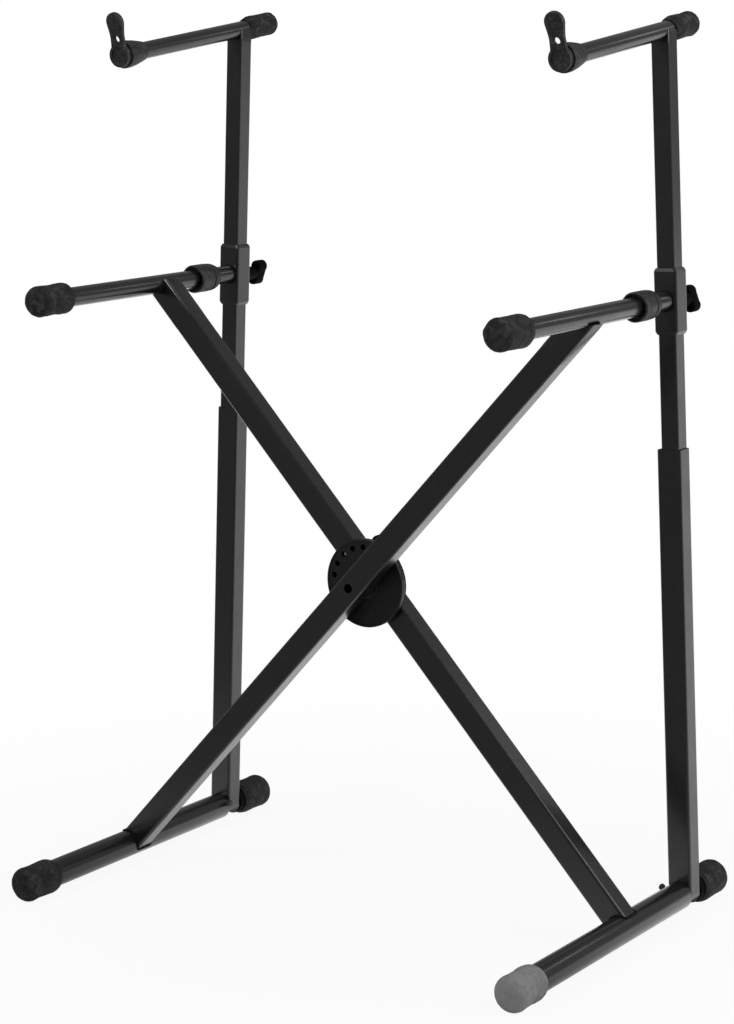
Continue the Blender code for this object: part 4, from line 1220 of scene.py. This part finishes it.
def makeFloor():
    shape = bmesh.new()
    bmesh.ops.create_grid(shape, x_segments=1, y_segments=1, size=14)
    floor = addObject("floor", meshOf("floor", shape))
    floor.location = (0, 0, -0.0004)
    material, tree, shader, where = startMaterial("paleFloor", [stageLight["floor"]] * 3, 0.8)
    distance = tree.nodes.new("ShaderNodeVectorMath")
    distance.operation = "LENGTH"
    tree.links.new(where, distance.inputs[0])
    depth = addNode(tree, "SeparateXYZ", links={0: where}).outputs["Y"]
    path = addNode(tree, "LightPath")
    glossy = path.outputs["Is Glossy Ray"]
    seen = addSpread(tree, distance.outputs["Value"], stageLight["reach"], stageLight["glow"])
    seen = addMath(tree, "MULTIPLY", path.outputs["Is Camera Ray"], seen)
    # painted shade in reflections: the floor's glow in glossy rays drops towards the front
    paintedReflectionShade = addSpread(tree, depth, stageLight["glossReach"], stageLight["reflectedFloorShade"])
    strength = addMath(tree, "SUBTRACT", 1.0, addMath(tree, "MULTIPLY", glossy, paintedReflectionShade))
    glow = addNode(tree, "Emission", {"Color": (1, 1, 1, 1)}, {"Strength": strength})
    links = {"Fac": addMath(tree, "MAXIMUM", seen, glossy), 1: shader.outputs[0], 2: glow.outputs[0]}
    mix = addNode(tree, "MixShader", links=links)
    tree.links.new(mix.outputs[0], tree.nodes["Material Output"].inputs["Surface"])
    floor.data.materials.append(material)


def makeWorld():
    world = bpy.data.worlds.new("studio")
    bpy.context.scene.world = world
    world.use_nodes = True
    tree = world.node_tree
    background = tree.nodes["Background"]
    background.inputs["Color"].default_value = (1, 1, 1, 1)
    seen = addNode(tree, "LightPath").outputs["Is Camera Ray"]
    strength = addSpread(tree, seen, (0.0, 1.0), (stageLight["world"], 1.0))
    tree.links.new(strength, background.inputs["Strength"])


def addLamp(name, location, target, size, energy):
    data = bpy.data.lights.new(name, "AREA")
    data.shape = "DISK"
    data.size = size
    data.energy = energy
    lamp = addObject(name, data)
    lamp.location = location
    aim = Vector(target) - Vector(location)
    lamp.rotation_euler = aim.to_track_quat("-Z", "Y").to_euler()


cameraSettings = dict(
    location=(1.9255, -2.8791, 1.1754), heading=33.772, pitch=-10.708, roll=-0.390,
    lens=95.87, sensor=36, clipEnd=60,
)
lamps = [
    dict(name="rightLamp", location=(3.6, 0.8, 2.4), target=(0, 0, 0.6), size=3.2, energy=78),
    dict(name="frontLamp", location=(-1.5, -2.9, 3.3), target=(0, 0, 0.6), size=1.4, energy=50),
    dict(name="rearLamp", location=(1.75, 3.15, 2.3), target=(0, 0, 0.7), size=0.5, energy=1.4),
    dict(name="topLamp", location=(0.2, 0.4, 4.2), target=(0, 0, 0.4), size=2.6, energy=16),
]


def makeCamera():
    data = bpy.data.cameras.new("camera")
    data.lens = cameraSettings["lens"]
    data.sensor_width = cameraSettings["sensor"]
    data.clip_end = cameraSettings["clipEnd"]
    camera = addObject("camera", data)
    heading = Matrix.Rotation(math.radians(cameraSettings["heading"]), 4, "Z")
    pitch = Matrix.Rotation(math.radians(90 + cameraSettings["pitch"]), 4, "X")
    roll = Matrix.Rotation(math.radians(cameraSettings["roll"]), 4, "Z")
    camera.matrix_world = Matrix.Translation(cameraSettings["location"]) @ heading @ pitch @ roll
    bpy.context.scene.camera = camera


makeFloor()
makeWorld()
for lamp in lamps:
    addLamp(**lamp)
makeCamera()
bpy.context.scene.view_settings.view_transform = "Standard"
print("stage: stage and camera made")
